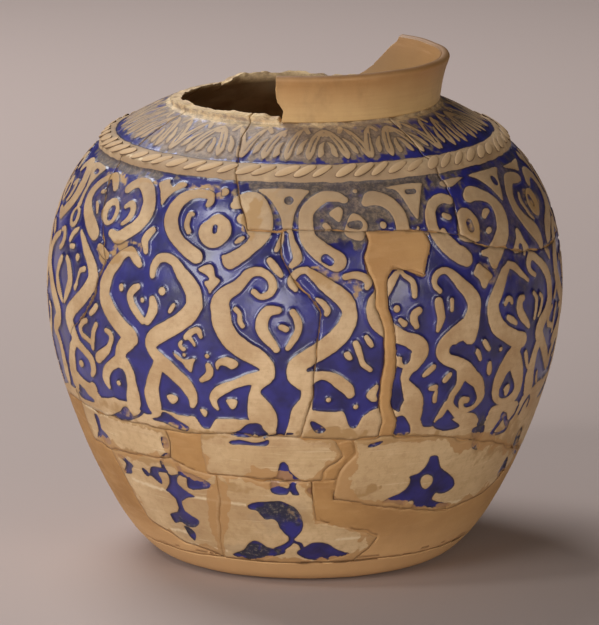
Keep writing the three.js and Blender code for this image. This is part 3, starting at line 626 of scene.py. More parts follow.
     (21.4, 158.4), (21.2, 162), (20, 163.8), (18.6, 162)),
    ((52.2, 142.5), (53.7, 139.6), (55.8, 133.1), (55.5, 128.8), (53.4, 126.6), (50.7, 128.1),
     (49.9, 133.1), (51, 138.9)),
    ((16.6, 147), (17.4, 146), (17.4, 138), (16.4, 137.6), (16, 141)),
))

# What is left of the carving on the lower wall: here the cut shapes are the ground
LOWER_REMNANTS = Motif(0, (
    ((-6.4, 88.2), (-5, 89.4), (-3.8, 87.4), (-4.4, 85), (-6, 86.4)),
    ((31, 87.6), (32.6, 88.4), (34.4, 85.6), (34.6, 82), (33.2, 79), (31.8, 80.4), (30.8, 84.4)),
    ((28, 70.4), (29.4, 72.2), (30.4, 70.6), (30, 68), (28.6, 67.4)),
    ((-3.2, 43.6), (-2.6, 45.6), (-1.9, 43.4), (-2.6, 40.4)),
    ((-35.4, 107.4, 0.6),),
    ((51.5, 133), (53, 135), (53.9, 133), (53.6, 128.6), (52.6, 128.4), (52, 130.8)),
), (
    ((-60.2, 113.8), (-58.6, 113.4), (-58.4, 110), (-58.8, 105.5), (-57, 103), (-56, 100),
     (-56.2, 97.6), (-58.4, 95.8), (-60, 96.6), (-60.8, 99), (-63.4, 97.4), (-62.4, 100.4),
     (-61, 103.5), (-60.6, 108)),
    ((-55.2, 91.2), (-53, 91.8), (-51.2, 90), (-49.4, 87), (-50.6, 84.6), (-51.2, 81.4),
     (-53.8, 80), (-55.2, 80.4), (-53.8, 83.4), (-52.6, 86.4), (-53, 88.6)),
    ((-36.2, 110.6), (-34.6, 110.8), (-34.2, 107.6), (-34.8, 104), (-36.2, 104.2)),
    ((-37.8, 90, 1.4), (-38, 94.5, 1.2), (-36.8, 98.4, 1.2), (-35, 99.6, 1.5), (-33.8, 97, 1.2),
     (-33, 93, 1.3), (-32.6, 90, 1.5)),
    ((-42.6, 88.8), (-41.2, 90.2), (-38.6, 90.4), (-37, 89.6), (-37, 87.6), (-38.6, 87.6),
     (-40.2, 86.6), (-39.8, 82.4), (-40.2, 79.4), (-41.6, 80.2), (-43.4, 83.4), (-44.8, 82.2),
     (-46, 84.2), (-46, 87.2), (-44.8, 86.8), (-43.6, 84.8)),
    ((-37.5, 88.8), (-35.9, 86.8), (-33, 88.8), (-34.2, 85.6), (-34.6, 82.4), (-33.6, 79.4),
     (-31.8, 76.6), (-30.2, 74.4), (-33, 72.8), (-34.6, 70.4), (-36, 69.2), (-37.2, 71),
     (-38.6, 74), (-39.6, 75.6), (-38.4, 78.4), (-37.4, 81.4), (-37, 85)),
    ((-36, 72, 2.4), (-36.2, 67, 1.7), (-36.2, 62, 2.2)),
    ((-37.2, 64), (-35.4, 63.4), (-33.4, 60.6), (-31.4, 58.2), (-31.8, 55.2), (-34, 52),
     (-36.4, 52), (-38.4, 54), (-41, 52.6), (-41.6, 56), (-41.4, 58.8), (-39.4, 60.4),
     (-38, 61.8)),
    ((-37.8, 51.6), (-35.8, 51), (-34.6, 48.6), (-34.6, 45.4), (-36, 41.4), (-37.2, 44),
     (-37.6, 47.6)),
    ((-33.6, 89.4), (-31.8, 90.6), (-29, 89.4), (-26.8, 87.6), (-24.8, 85.2), (-24.6, 82.4),
     (-27, 80.6), (-29.4, 79.4), (-31.4, 79.8), (-31.6, 83), (-31.3, 86.4), (-32.8, 87.2)),
    ((-17.8, 113.2), (-15, 114.8), (-11.6, 113.4), (-8.4, 115.6), (-8.6, 112.2), (-11, 111.4),
     (-14, 111.8), (-17.2, 111.4)),
    ((-5, 102.4), (-4, 99.8), (-3.6, 96.4), (-2.2, 92.6), (-0.8, 89.6), (-2.2, 87.6), (-2, 84),
     (-1.4, 80.6), (-3, 80.4), (-3.8, 83.2), (-4.6, 80.6), (-7, 80.6), (-8.6, 82.4), (-8.8, 86.6),
     (-8.6, 89.6), (-7, 93), (-6.4, 97), (-6, 100.6)),
    ((0.4, 84.2), (1.4, 86), (3, 85), (5, 81.6), (7.8, 79.8), (8.2, 77.4), (6.2, 76.8),
     (3.8, 78.4), (2, 80.4), (0.8, 82)),
    ((-15.2, 72.6), (-13, 74.8), (-10, 75.6), (-6.4, 76.2), (-4.4, 74.4), (-2.4, 71.4), (-1, 66.4),
     (-0.4, 60.6), (-1, 55.4), (-2.6, 50.8), (-4, 50.4), (-5.6, 53.2), (-7, 57.6), (-7.6, 61.6),
     (-9, 63.8), (-10.8, 63.2), (-12, 66.2), (-13, 69), (-15, 70)),
    ((-4, 51.5, 1.4), (-4, 48, 1.6), (-5.6, 44.4, 1.8), (-8.4, 41, 2.2)),
    ((-23.6, 34.4), (-21, 37.6), (-19, 40), (-16.8, 45.4), (-15, 47.4), (-13.4, 46.4),
     (-11.4, 43), (-8.6, 41.8), (-6.4, 42.4), (-6, 39), (-8.6, 36.6), (-11.4, 34.6),
     (-14, 32.2), (-18, 31.2), (-21, 32)),
    ((-2.4, 38.4), (-2, 41), (-0.2, 43.6), (2, 46.6), (4.6, 47.2), (7.4, 45.4), (9.6, 41.6),
     (12.4, 38.8), (14.2, 37.2), (11.4, 35), (8.6, 33.2), (4.6, 32.4), (1, 33.6), (-1, 35.6)),
    ((-3, 47.6, 0.9), (-1.4, 46, 1.1), (-0.8, 43, 1.2)),
    ((32, 100.2), (34, 99.8), (35, 96.4), (36.2, 91.6), (38.6, 87.6), (41, 83.8), (43, 78.6),
     (42.6, 75.4), (40.6, 73.4), (38.4, 73.6), (37, 74.6), (36.4, 71), (38.4, 68.4), (42, 66),
     (44.2, 64), (43.4, 62.6), (39.6, 63.6), (35.6, 65.4), (31.6, 66.2), (27.2, 69.2), (24, 72.2),
     (20.8, 73), (22.4, 76), (25.6, 78.6), (27.4, 82.8), (27.6, 86.4), (27.2, 89), (29.6, 90.2),
     (30.8, 93), (31.6, 96.6)),
    ((14.8, 110.6), (16, 112.4), (18.6, 113.2), (17.4, 110.8), (15.6, 109.8)),
    ((43.2, 112.6), (45, 113.4), (47.4, 113.4), (47.8, 108.6), (47.2, 104), (46, 103),
     (47.6, 101.6), (47.4, 98.2), (45.4, 99.8), (44.6, 102.4), (44.8, 105), (43.8, 108.4)),
    ((51.2, 106.4, 1.3), (53.2, 111.6, 1.6), (54.8, 115.6, 1.7), (56.2, 111.6, 1.6), (57.8, 108.2, 1.6),
     (57, 105.2, 1.2), (53.4, 104.8, 1), (51.2, 106.4, 1.3)),
    ((57.4, 110, 1), (59.6, 113.6, 1.2), (60.4, 118.6, 1.1)),
    ((62.4, 112.6, 1.2), (63.4, 117.8, 1.2), (65.2, 121.6, 1), (66.4, 119, 1), (66.4, 115.4, 1)),
    ((66.6, 100), (68.4, 101.6), (70, 98.4), (70.8, 92), (74, 86.4), (76, 82), (73, 81.6),
     (70, 84.4), (67.4, 89.4), (66.2, 95)),
    ((64, 76), (65.4, 84), (67.4, 82.2), (68.4, 78.4), (69.4, 72.4), (67.4, 70.6), (65, 72.4)),
))

# The lower edge of the carved field, as (degrees, millimetres up), on the front and for one repeat
FIELD_FOOT_FRONT = (
    (-86, 126.5), (-72, 125), (-66, 124), (-62, 130), (-56, 130), (-54.6, 126.4), (-51.5, 127.6),
    (-49, 128.6), (-44, 128.6), (-40.6, 125), (-39.2, 123), (-37.6, 123.4), (-35, 128), (-32, 127.6),
    (-30, 126.4), (-25.4, 126), (-24.6, 122.5), (-24.2, 119.8), (-22.2, 119.8), (-20.6, 125.4),
    (-20.2, 126.8), (-13.2, 127.2), (-7, 123), (-6.1, 119), (-4.4, 119), (-3.9, 124), (-3, 131),
    (2.3, 133.6), (8.8, 132.2), (9.4, 128), (9.8, 124.4), (10.5, 122.4), (12.1, 122.6),
    (12.6, 127.6), (14.8, 132), (18, 134.6), (22, 130), (27.6, 124), (27.8, 119.5), (31, 118.6),
    (36, 122), (42.8, 120), (45, 113), (47.6, 114), (47.8, 122.5), (52, 125), (59, 122),
    (60.6, 119), (61.5, 124), (70, 128),
)
FIELD_FOOT_REPEAT = (
    (-14, 127.6), (-12, 128.6), (-7, 128.6), (-3.6, 125), (-2.2, 123), (-0.6, 123.4), (2, 128),
    (5, 127.6), (7, 126.4), (11.6, 126), (12.4, 122.5), (12.8, 119.8), (13.6, 119.8),
)

# One repeat of the frieze: a running vine with leaves, over the width of one step round
FRIEZE = Motif(0, (
    ((-6.2, 273.4), (-4.8, 277.6), (-4.2, 284), (-3, 291), (-1.2, 298.6), (-3.6, 296.4),
     (-5.6, 290), (-7, 283), (-7.3, 277.6)),
    ((0.6, 273.4), (2.3, 278), (3.3, 285), (4.8, 291), (6.8, 298), (4, 296.2), (1.4, 290),
     (0.2, 283), (-0.5, 278)),
    ((-3.2, 277), (-1.5, 279.6), (-0.9, 284.6), (0.7, 290.4), (-1.4, 287.6), (-3, 283)),
    ((3.6, 275.2), (5.4, 277.4), (5.4, 282.4), (6.2, 287.4), (4.4, 285.2), (3.6, 280.6)),
    ((-0.4, 299.4, 1.3), (0.8, 295.4, 1.2)),
    ((5.9, 292.4, 0.8), (6.3, 294.4, 0.6)),
), (
    ((-6, 278.6, 0.3), (-4.8, 286, 0.45), (-3.2, 293, 0.3)),
    ((1, 279, 0.3), (2.2, 286, 0.45), (4, 292.6, 0.3)),
))


@dataclass
class Carving:
    """The carved field and frieze as a signed distance: more than nothing on the blue ground.

    Args:
        step: the grid's step in millimetres.
        reach: how far the distance is followed past a shape's edge.
        open_ground: the distance where no shape is near.
        curve_steps: straight steps from one point of a shape to the next.
        repeats: how often the pattern is repeated, from the front round the back.
        repeat_width: a repeat's width in degrees.
        traced_width: the same for the one that the motifs were drawn over.
        first_medallion: where the repeats are counted from, for the medallions.
        first_lattice: the same for the lower row.
        first_drop: the place of the one leaf group at the front's right side.
        between: from a medallion to the middle of the triangle after it.
        past_seam: how far past the back seam shapes are followed, in degrees.
        frieze_repeats: how many leaf groups the frieze has.
        frieze_jitter: how unevenly they stand, in degrees.
        frieze_top: where the frieze ends, in millimetres up.
        line_under_moulding: how wide the cut line under the moulding is.
        seed: the seed of the frieze's jitter.
    """

    step: float = 0.36
    reach: float = 3.0
    open_ground: float = 9.0
    curve_steps: int = 4
    repeats: int = 7
    repeat_width: float = 29.43
    traced_width: float = 31.0
    first_medallion: float = 71.0
    first_lattice: float = 58.0
    first_drop: float = 75.0
    between: float = 14.5
    past_seam: float = 4.0
    frieze_repeats: int = 27
    frieze_jitter: float = 0.7
    frieze_top: float = 300.6
    line_under_moulding: float = 2.6
    seed: int = 5

    def __post_init__(self) -> None:
        """Lays out the grid and carves every motif into it."""
        self.around = np.arange(-180.0, 180.0 + self.step / FLAT_SCALE, self.step / FLAT_SCALE)
        self.up = np.arange(0.0, PROFILE.neck_up + 8.0, self.step)
        self.scale = np.radians(PROFILE.sample("line", self.up)[:, 0])
        self.distance = np.full((len(self.up), len(self.around)), self.open_ground)
        for motif in self.motifs():
            self.carve(motif.raised, np.minimum)
        self.close_field()
        for motif in self.motifs():
            self.carve(motif.cut, cut_back)
        self.carve(LOWER_REMNANTS.cut, cut_back)
        self.carve(LOWER_REMNANTS.raised, np.minimum)

    def motifs(self) -> list[Motif]:
        """Returns the front's motifs, the repeats that go on round the back and the frieze."""
        width = self.repeat_width / self.traced_width
        placed = [FRONT, MEDALLION, DROP, LATTICE, BETWEEN, DROP.at(self.first_drop, width),
                  BETWEEN.at(self.first_medallion + self.between, width)]
        for i in range(1, self.repeats + 1):
            medallion = self.first_medallion + i * self.repeat_width
            placed += [MEDALLION.at(medallion, width), DROP.at(medallion, width),
                       LATTICE.at(self.first_lattice + i * self.repeat_width, width)]
            if i < self.repeats:
                placed.append(BETWEEN.at(medallion + self.between, width))
        step = FULL_TURN / self.frieze_repeats
        draws = np.random.default_rng(self.seed)
        jitter = draws.uniform(-self.frieze_jitter, self.frieze_jitter, self.frieze_repeats)
        for i in range(self.frieze_repeats):
            placed.append(FRIEZE.at((i + 0.5) * step - 180.0 + jitter[i], -1.0 if i % 5 in (1, 4) else 1.0))
        return placed

    def close_field(self) -> None:
        """Leaves the wall below the field, the moulding and the rim of the neck standing."""
        width = self.repeat_width / self.traced_width
        back = [(self.first_lattice + i * self.repeat_width + x * width, y)
                for i in range(1, self.repeats + 1) for x, y in FIELD_FOOT_REPEAT]
        edge = np.array([*FIELD_FOOT_FRONT, *back])
        foot = np.interp(self.around % FULL_TURN, edge[:, 0] % FULL_TURN, edge[:, 1], period=FULL_TURN)
        window = np.hanning(13)
        foot = np.convolve(np.pad(foot, 6, mode="wrap"), window / window.sum(), mode="valid")
        foot = foot + Noise.FIELD_FOOT.at(self.around, foot)
        level = self.up[:, None]
        np.minimum(self.distance, level - foot[None, :], out=self.distance)
        middle = PROFILE.neck_up - PROFILE.moulding_below_neck
        ragged = Noise.MOULDING.at(self.around, level + 0 * self.around)
        band = np.abs(level - middle) - PROFILE.moulding_width / 2 + ragged
        np.minimum(self.distance, band, out=self.distance)
        under = level - (middle - PROFILE.moulding_width / 2 - self.line_under_moulding)
        line = np.where(band > 0, np.minimum(under, band), -self.open_ground)
        near = (self.up > middle - 10) & (self.up < middle)
        self.distance[near] = np.maximum(self.distance[near], line[near])
        np.minimum(self.distance, self.frieze_top - level + 1.2 * ragged, out=self.distance)

    def carve(self, shapes: Iterable[Stroke], join: Callable) -> None:
        """Joins the distance to each shape into the grid, also where it lies over the back seam."""
        for shape in shapes:
            closed = len(shape[0]) == 2
            line = self.curve(np.array(shape, float), closed)
            middle = line[:, 0].mean()
            line[:, 0] -= FULL_TURN * round(middle / FULL_TURN)
            for turn in (-FULL_TURN, 0.0, FULL_TURN):
                moved = line + np.array([turn] + [0.0] * (line.shape[1] - 1))
                edge = FULL_TURN / 2 + self.past_seam
                if moved[:, 0].max() > -edge and moved[:, 0].min() < edge:
                    self.carve_line(moved, closed, join)

    def curve(self, points: np.ndarray, closed: bool) -> np.ndarray:
        """Returns a smooth run through the points, open or closed."""
        if len(points) == 1:
            return np.vstack([points, points + np.array([1e-3, 0, 0])])
        if closed:
            points = np.vstack([points[-1:], points, points[:2]])
        else:
            points = np.vstack([2 * points[0] - points[1], points, 2 * points[-1] - points[-2]])
        t = np.arange(self.curve_steps)[:, None] / self.curve_steps
        runs = []
        for a, b, c, d in zip(points, points[1:], points[2:], points[3:]):
            runs.append(0.5 * (2 * b + (c - a) * t + (2 * a - 5 * b + 4 * c - d) * t ** 2
                               + (3 * b - a - 3 * c + d) * t ** 3))
        if not closed:
            runs.append(points[-2:-1])
        return np.vstack(runs)

    def carve_line(self, line: np.ndarray, closed: bool, join: Callable) -> None:
        """Joins the distance to one run of points into the part of the grid that it reaches.

        Args:
            line: the run, as (degrees, millimetres up) and for a stroke its half width.
            closed: whether it is an outline.
            join: how the old and the new distance become one.
        """
        pad = self.reach + (0.0 if closed else line[:, 2].max())
        low, high = line[:, :2].min(axis=0), line[:, :2].max(axis=0)
        slack = pad / self.scale[np.clip(int(high[1] / self.step), 0, len(self.up) - 1)]
        columns = slice(*np.searchsorted(self.around, [low[0] - slack, high[0] + slack]))
        rows = slice(*np.searchsorted(self.up, [low[1] - pad, high[1] + pad]))
        x, y = self.around[columns][None, :], self.up[rows][:, None]
        if x.size == 0 or y.size == 0:
            return
        scale = self.scale[rows][:, None]
        best = np.full((y.size, x.size), self.open_ground)
        inside = np.zeros(best.shape, bool)
        ends = np.roll(line, -1, axis=0) if closed else line[1:]
        for a, b in zip(line, ends):
            away, share = to_segment(a, b, x, y, scale)
            width = 0.0 if closed else a[2] + share * (b[2] - a[2])
            np.minimum(best, away - width, out=best)
            if closed and a[1] != b[1]:
                at = a[0] + (y - a[1]) / (b[1] - a[1]) * (b[0] - a[0])
                inside ^= ((a[1] > y) != (b[1] > y)) & (at > x)
        best = np.where(inside, -best, best)
        self.distance[rows, columns] = join(self.distance[rows, columns], best)

    def read(self, around: np.ndarray, up: np.ndarray) -> np.ndarray:
        """Returns the distance at places on the jar, between the grid's points."""
        x = ((around + 180.0) % FULL_TURN) * FLAT_SCALE / self.step
        y = np.clip(up / self.step, 0, len(self.up) - 1.001)
        x = np.clip(x, 0, len(self.around) - 1.001)
        i, j = x.astype(int), y.astype(int)
        fx, fy = x - i, y - j
        d = self.distance
        return ((d[j, i] * (1 - fx) + d[j, i + 1] * fx) * (1 - fy)
                + (d[j + 1, i] * (1 - fx) + d[j + 1, i + 1] * fx) * fy)


@dataclass(frozen=True)
class Patch:
    """A worn place.

    Args:
        wear: what shows there.
        around: degrees round of its middle.
        up: millimetres up of its middle.
        half_width: degrees from its middle to its side.
        half_height: millimetres from its middle to its top.
        strength: how much of the wear shows, up to 1.
    """

    wear: Wear
    around: float
    up: float
    half_width: float
    half_height: float
    strength: float = 1.0

    def share(self, around: np.ndarray, up: np.ndarray, ragged: np.ndarray) -> np.ndarray:
        """Returns how much of it shows at each place."""
        across = ((around - self.around + 180.0) % FULL_TURN - 180.0) / self.half_width
        away = np.hypot(across, (up - self.up) / self.half_height) + ragged
        return self.strength * (1.0 - smoothstep(0.55, 1.15, away))


GREY, BARE = Wear.GREY_GLAZE, Wear.BARE_CLAY
PATCHES = (
    Patch(GREY, 8, 288, 48, 18, 1.0),
    Patch(GREY, -30, 292, 22, 12, 0.9),
    Patch(GREY, -72, 288, 44, 16, 0.75),
    Patch(GREY, -38, 277, 28, 8, 0.85),
    Patch(GREY, 12, 256, 36, 12, 0.95),
    Patch(GREY, 14, 242, 26, 15, 0.8),
    Patch(GREY, 11, 232, 10, 12, 0.9),
    Patch(BARE, -12.6, 236, 2.6, 12, 0.8),
    Patch(GREY, -60, 256, 26, 5, 0.8),
    Patch(GREY, 62, 250, 12, 10, 0.5),
    Patch(GREY, 88, 288, 32, 14, 0.62),
    Patch(GREY, -110, 286, 24, 12, 0.5),
    Patch(GREY, 150, 292, 30, 12, 0.6),
    Patch(GREY, -158, 246, 18, 16, 0.55),
    Patch(GREY, -7, 66, 9, 13, 0.75),
    Patch(GREY, -17, 38, 9, 8, 0.9),
    Patch(GREY, -37, 50, 6, 9, 0.6),
    Patch(GREY, 46, 110, 4, 12, 0.55),
    Patch(GREY, 70, 88, 7, 18, 0.6),
    Patch(GREY, -62, 240, 26, 18, 0.4),
    Patch(GREY, 66, 222, 34, 40, 0.42),
    Patch(BARE, -50, 207, 5, 6, 0.9),
    Patch(BARE, -44, 214, 6, 4, 0.7),
    Patch(BARE, -58, 249, 7, 4, 0.8),
    Patch(BARE, -46, 251, 5, 2.6, 0.6),
    Patch(BARE, -27, 252, 8, 3, 0.7),
    Patch(BARE, -22, 249, 6, 4, 0.5),
    Patch(BARE, -6, 246, 7, 9, 0.4),
    Patch(BARE, 4, 206, 5, 7, 0.55),
    Patch(BARE, 10, 200, 4, 8, 0.5),
    Patch(BARE, 44, 200, 4, 8, 0.45),
    Patch(BARE, 42, 226, 4, 10, 0.5),
    Patch(BARE, 71, 228, 5, 10, 0.6),
    Patch(BARE, -28, 116, 12, 4, 0.8),
    Patch(BARE, -48, 122, 8, 5, 0.5),
    Patch(BARE, 6, 119, 8, 5, 0.8),
    Patch(BARE, 20, 114, 12, 4, 0.7),
    Patch(BARE, 58, 100, 16, 16, 0.5),
    Patch(BARE, -58, 88, 8, 10, 0.5),
    Patch(BARE, -42, 95, 12, 4, 0.8),
    Patch(BARE, -20, 84, 8, 4, 0.5),
    Patch(BARE, -22, 52, 10, 8, 0.35),
    Patch(BARE, 16, 82, 4, 5, 0.7),
    Patch(BARE, 6, 66, 12, 12, 0.4),
    Patch(BARE, 104, 214, 12, 14, 0.6),
    Patch(BARE, 142, 150, 10, 18, 0.5),
    Patch(BARE, -150, 190, 12, 16, 0.6),
    Patch(BARE, -112, 132, 14, 10, 0.5),
    Patch(BARE, 178, 124, 20, 8, 0.6),
    Patch(BARE, -96, 236, 10, 9, 0.5),
)

# Pale lines that were scratched or smeared over the lower wall, as strokes
SCRATCHES: tuple[Stroke, ...] = (
    ((-96, 302.4, 1.4), (-70, 301.6, 1.9), (-45, 302.4, 2.1), (-24, 301.8, 1.8), (-11, 302.6, 1.5)),
    ((-60, 262.4, 0.4), (-52, 262.0, 0.7), (-45, 262.6, 0.3)),
    ((-52, 77.5, 0.5), (-44, 76.2, 0.8), (-36, 75.2, 0.4), (-26, 74.2, 0.7), (-16, 72.8, 0.5)),
    ((-44, 47.0, 0.5), (-38, 47.4, 0.9), (-35, 46.8, 0.4)),
    ((-38, 38.8, 0.4), (-32, 38.0, 0.9), (-25, 37.2, 0.5)),
    ((-27.6, 30, 0.8), (-26.8, 42, 0.5), (-25.4, 56, 0.6), (-24.2, 68, 0.5), (-22.8, 78, 0.4)),
    ((9, 49.2, 0.4), (15, 49.6, 0.7), (19, 48.6, 0.4)),
    ((40, 66.4, 0.4), (47, 65.0, 0.6), (54, 64.0, 0.4)),
    ((-64, 118, 0.5), (-56, 116.6, 0.8), (-50, 117.6, 0.4)),
)


def read_node(name: str) -> tuple[np.ndarray, np.ndarray]:
    """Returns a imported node's merged corners, in millimetres, and its triangles."""
    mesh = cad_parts[name].data
    corners = np.zeros(len(mesh.vertices) * 3)
    mesh.vertices.foreach_get("co", corners)
    corners = corners.reshape(-1, 3) / MM
    mesh.calc_loop_triangles()
    triangles = np.zeros(len(mesh.loop_triangles) * 3, int)
    mesh.loop_triangles.foreach_get("vertices", triangles)
    keys = np.round(corners / 0.004).astype(np.int64)
    _, first, merged = np.unique(keys, axis=0, return_index=True, return_inverse=True)
    triangles = merged.reshape(-1)[triangles].reshape(-1, 3)
    return corners[first], triangles


def longest_loop(edges: np.ndarray) -> list[int]:
    """Returns the corners of the longest closed run among directed edges."""
    follow: dict[int, list[int]] = {}
    for start, end in edges:
        follow.setdefault(int(start), []).append(int(end))
    loops = []
    while follow:
        start = next(iter(follow))
        loop, here = [], start
        while here in follow:
            loop.append(here)
            ends = follow[here]
            there = ends.pop()
            if not ends:
                del follow[here]
            here = there
            if here == start:
                break
        loops.append(loop)
    return max(loops, key=len)


def open_sides(faces: np.ndarray) -> np.ndarray:
    """Returns the directed sides of faces that no neighbour walks the other way."""
    sides = np.stack([faces, np.roll(faces, -1, axis=1)], axis=-1).transpose(1, 0, 2).reshape(-1, 2)
    count = faces.max(initial=0) + 1
    forward = sides[:, 0] * count + sides[:, 1]
    backward = sides[:, 1] * count + sides[:, 0]
    return sides[~np.isin(forward, backward)]


def crossings(loop: np.ndarray, level: float) -> np.ndarray:
    """Returns where a closed run of points crosses a level."""
    ends = np.roll(loop, -1, axis=0)
    hit = (loop[:, 1] > level) != (ends[:, 1] > level)
    a, b = loop[hit], ends[hit]
    return a[:, 0] + (level - a[:, 1]) / (b[:, 1] - a[:, 1]) * (b[:, 0] - a[:, 0])


def outline_of(name: str) -> np.ndarray:
    """Returns the edge of a node's outer face as (degrees round, millimetres up), unwrapped.

    The outer face is the triangles near the outer profile that look out of the jar. Seen from
    outside, the edge runs anticlockwise.
    """
    corners, triangles = read_node(name)
    corner_sets = corners[triangles]
    middle = corner_sets.mean(axis=1)
    normal = np.cross(corner_sets[:, 1] - corner_sets[:, 0], corner_sets[:, 2] - corner_sets[:, 0])
    normal /= np.maximum(np.linalg.norm(normal, axis=1), 1e-9)[:, None]
    radius = np.hypot(middle[:, 0], middle[:, 1])
    up, away = PROFILE.locate(radius, middle[:, 2])
    out = PROFILE.sample("face", up)
    facing = (normal[:, 0] * middle[:, 0] + normal[:, 1] * middle[:, 1]) / np.maximum(radius, 1e-6)
    facing = facing * out[:, 0] + normal[:, 2] * out[:, 1]
    chosen = triangles[(away < 2.6) & (facing > 0.5)]
    loop = corners[longest_loop(open_sides(chosen))]
    around = np.unwrap(np.arctan2(loop[:, 0], -loop[:, 1]))
    up, _ = PROFILE.locate(np.hypot(loop[:, 0], loop[:, 1]), loop[:, 2])
    return np.stack([np.degrees(around), up], axis=1)


def flat(places: np.ndarray) -> np.ndarray:
    """Returns (degrees, millimetres up) laid flat, in millimetres at the belly's width."""
    return places * np.array([FLAT_SCALE, 1.0])


def unflat(places: np.ndarray) -> np.ndarray:
    """Returns flat places as (degrees, millimetres up)."""
    return places / np.array([FLAT_SCALE, 1.0])


def resample(loop: np.ndarray, step: float) -> np.ndarray:
    """Returns points at even steps along a closed run."""
    ring = np.vstack([loop, loop[:1]])
    length = np.concatenate([[0], np.cumsum(np.linalg.norm(np.diff(ring, axis=0), axis=1))])
    count = max(12, round(length[-1] / step))
    stations = np.linspace(0, length[-1], count, endpoint=False)
    return np.stack([np.interp(stations, length, ring[:, i]) for i in (0, 1)], axis=1)


def without_folds(loop: np.ndarray, reach: float) -> np.ndarray:
    """Drops what a closed run walks to and fro on one line.

    Args:
        loop: the run's points.
        reach: how near two of its points are when they lie on one line.

    Returns:
        The points that are left, from the lowest one on.
    """
    loop = np.roll(loop, -int(np.argmin(loop[:, 1])), axis=0)
    kept, here = [], 0
    while here < len(loop):
        kept.append(here)
        ahead = np.arange(here + 3, min(here + len(loop) // 2, len(loop)))
        near = ahead[np.linalg.norm(loop[ahead] - loop[here], axis=1) < reach]
        here = int(near.max()) + 1 if len(near) else here + 1
    return loop[kept]


def inwards(loop: np.ndarray) -> np.ndarray:
    """Returns the way into an anticlockwise run at each of its points."""
    along = np.roll(loop, -2, axis=0) - np.roll(loop, 2, axis=0)
    way = np.stack([-along[:, 1], along[:, 0]], axis=1)
    return way / np.maximum(np.linalg.norm(way, axis=1), 1e-9)[:, None]


def inside_loop(points: np.ndarray, loop: np.ndarray) -> np.ndarray:
    """Returns which points lie inside a closed run."""
    result = np.zeros(len(points), bool)
    ends = np.roll(loop, -1, axis=0)
    for block in range(0, len(points), 4096):
        x, y = points[block:block + 4096, 0][:, None], points[block:block + 4096, 1][:, None]
        crosses = (loop[:, 1][None] > y) != (ends[:, 1][None] > y)
        rise = np.where(ends[:, 1] == loop[:, 1], 1e-12, ends[:, 1] - loop[:, 1])
        at = loop[:, 0][None] + (y - loop[:, 1][None]) / rise[None] * (ends[:, 0] - loop[:, 0])[None]
        result[block:block + 4096] = (crosses & (x < at)).sum(axis=1) % 2 == 1
    return result


def fill_loop(loop: np.ndarray, step: float) -> tuple[np.ndarray, list[list[int]]]:
    """Fills a flat closed run with an even grid and a ring of triangles out to the run.

    Args:
        loop: the run's points, anticlockwise.
        step: the grid's step.

    Returns:
        All points, the run's own first, and the faces, anticlockwise.
    """
    low = np.floor(loop.min(axis=0) / step).astype(int) - 2
    size = np.ceil(loop.max(axis=0) / step).astype(int) + 3 - low
    row_at = (np.arange(size[1]) + low[1]) * step
    column_at = (np.arange(size[0]) + low[0]) * step
    solid = np.zeros((size[1], size[0]), bool)
    for row, y in enumerate(row_at):
        solid[row] = np.searchsorted(np.sort(crossings(loop, y)), column_at) % 2 == 1
    shares = np.linspace(0, 1, max(2, round(2.4 / step)), endpoint=False)[:, None, None]
    dense = (loop + shares * (np.roll(loop, -1, axis=0) - loop)).reshape(-1, 2)
    near = np.round(dense / step).astype(int) - low
    for dx in (-1, 0, 1):
        for dy in (-1, 0, 1):
            solid[near[:, 1] + dy, near[:, 0] + dx] = False
    cells = solid[:-1, :-1] & solid[1:, :-1] & solid[:-1, 1:] & solid[1:, 1:]
    used = np.zeros_like(solid)
    for dx in (0, 1):
        for dy in (0, 1):
            used[dy:dy + cells.shape[0], dx:dx + cells.shape[1]] |= cells
    index = np.full(solid.shape, -1)
    rows, columns = np.nonzero(used)
    index[rows, columns] = len(loop) + np.arange(len(rows))
    points = np.vstack([loop, np.stack([column_at[columns], row_at[rows]], axis=1)])
    row, column = np.nonzero(cells)
    quads = np.stack([index[row, column], index[row, column + 1],
                      index[row + 1, column + 1], index[row + 1, column]], axis=1)

    stairs = open_sides(quads)
    count = len(points)
    ring_points = np.concatenate([np.arange(len(loop)), np.unique(stairs)])
    local = np.full(count, -1)
    local[ring_points] = np.arange(len(ring_points))
    around = np.arange(len(loop))
    edges = np.vstack([np.stack([around, np.roll(around, -1)], axis=1), local[stairs]])
    made, _, triangles, origins, _, _ = delaunay_2d_cdt(
        [Vector(p) for p in points[ring_points].tolist()], edges.tolist(), [], 0, 1e-6)
    made = np.array([tuple(p) for p in made])
    extra = [i for i, source in enumerate(origins) if not source]
    back = np.array([ring_points[source[0]] if source else -1 for source in origins])
    back[extra] = count + np.arange(len(extra))
    corners = np.array([t for t in triangles if len(t) == 3])
    middle = made[corners].mean(axis=1)
    cell = np.floor(middle / step).astype(int) - low
    kept = inside_loop(middle, loop) & ~cells[np.clip(cell[:, 1], 0, cells.shape[0] - 1),
                                              np.clip(cell[:, 0], 0, cells.shape[1] - 1)]
    a, b, c = (made[corners[:, i]] for i in range(3))
    turned = (b - a)[:, 0] * (c - a)[:, 1] - (b - a)[:, 1] * (c - a)[:, 0] < 0
    corners[turned] = corners[turned][:, ::-1]
    return np.vstack([points, made[extra]]), quads.tolist() + back[corners[kept]].tolist()


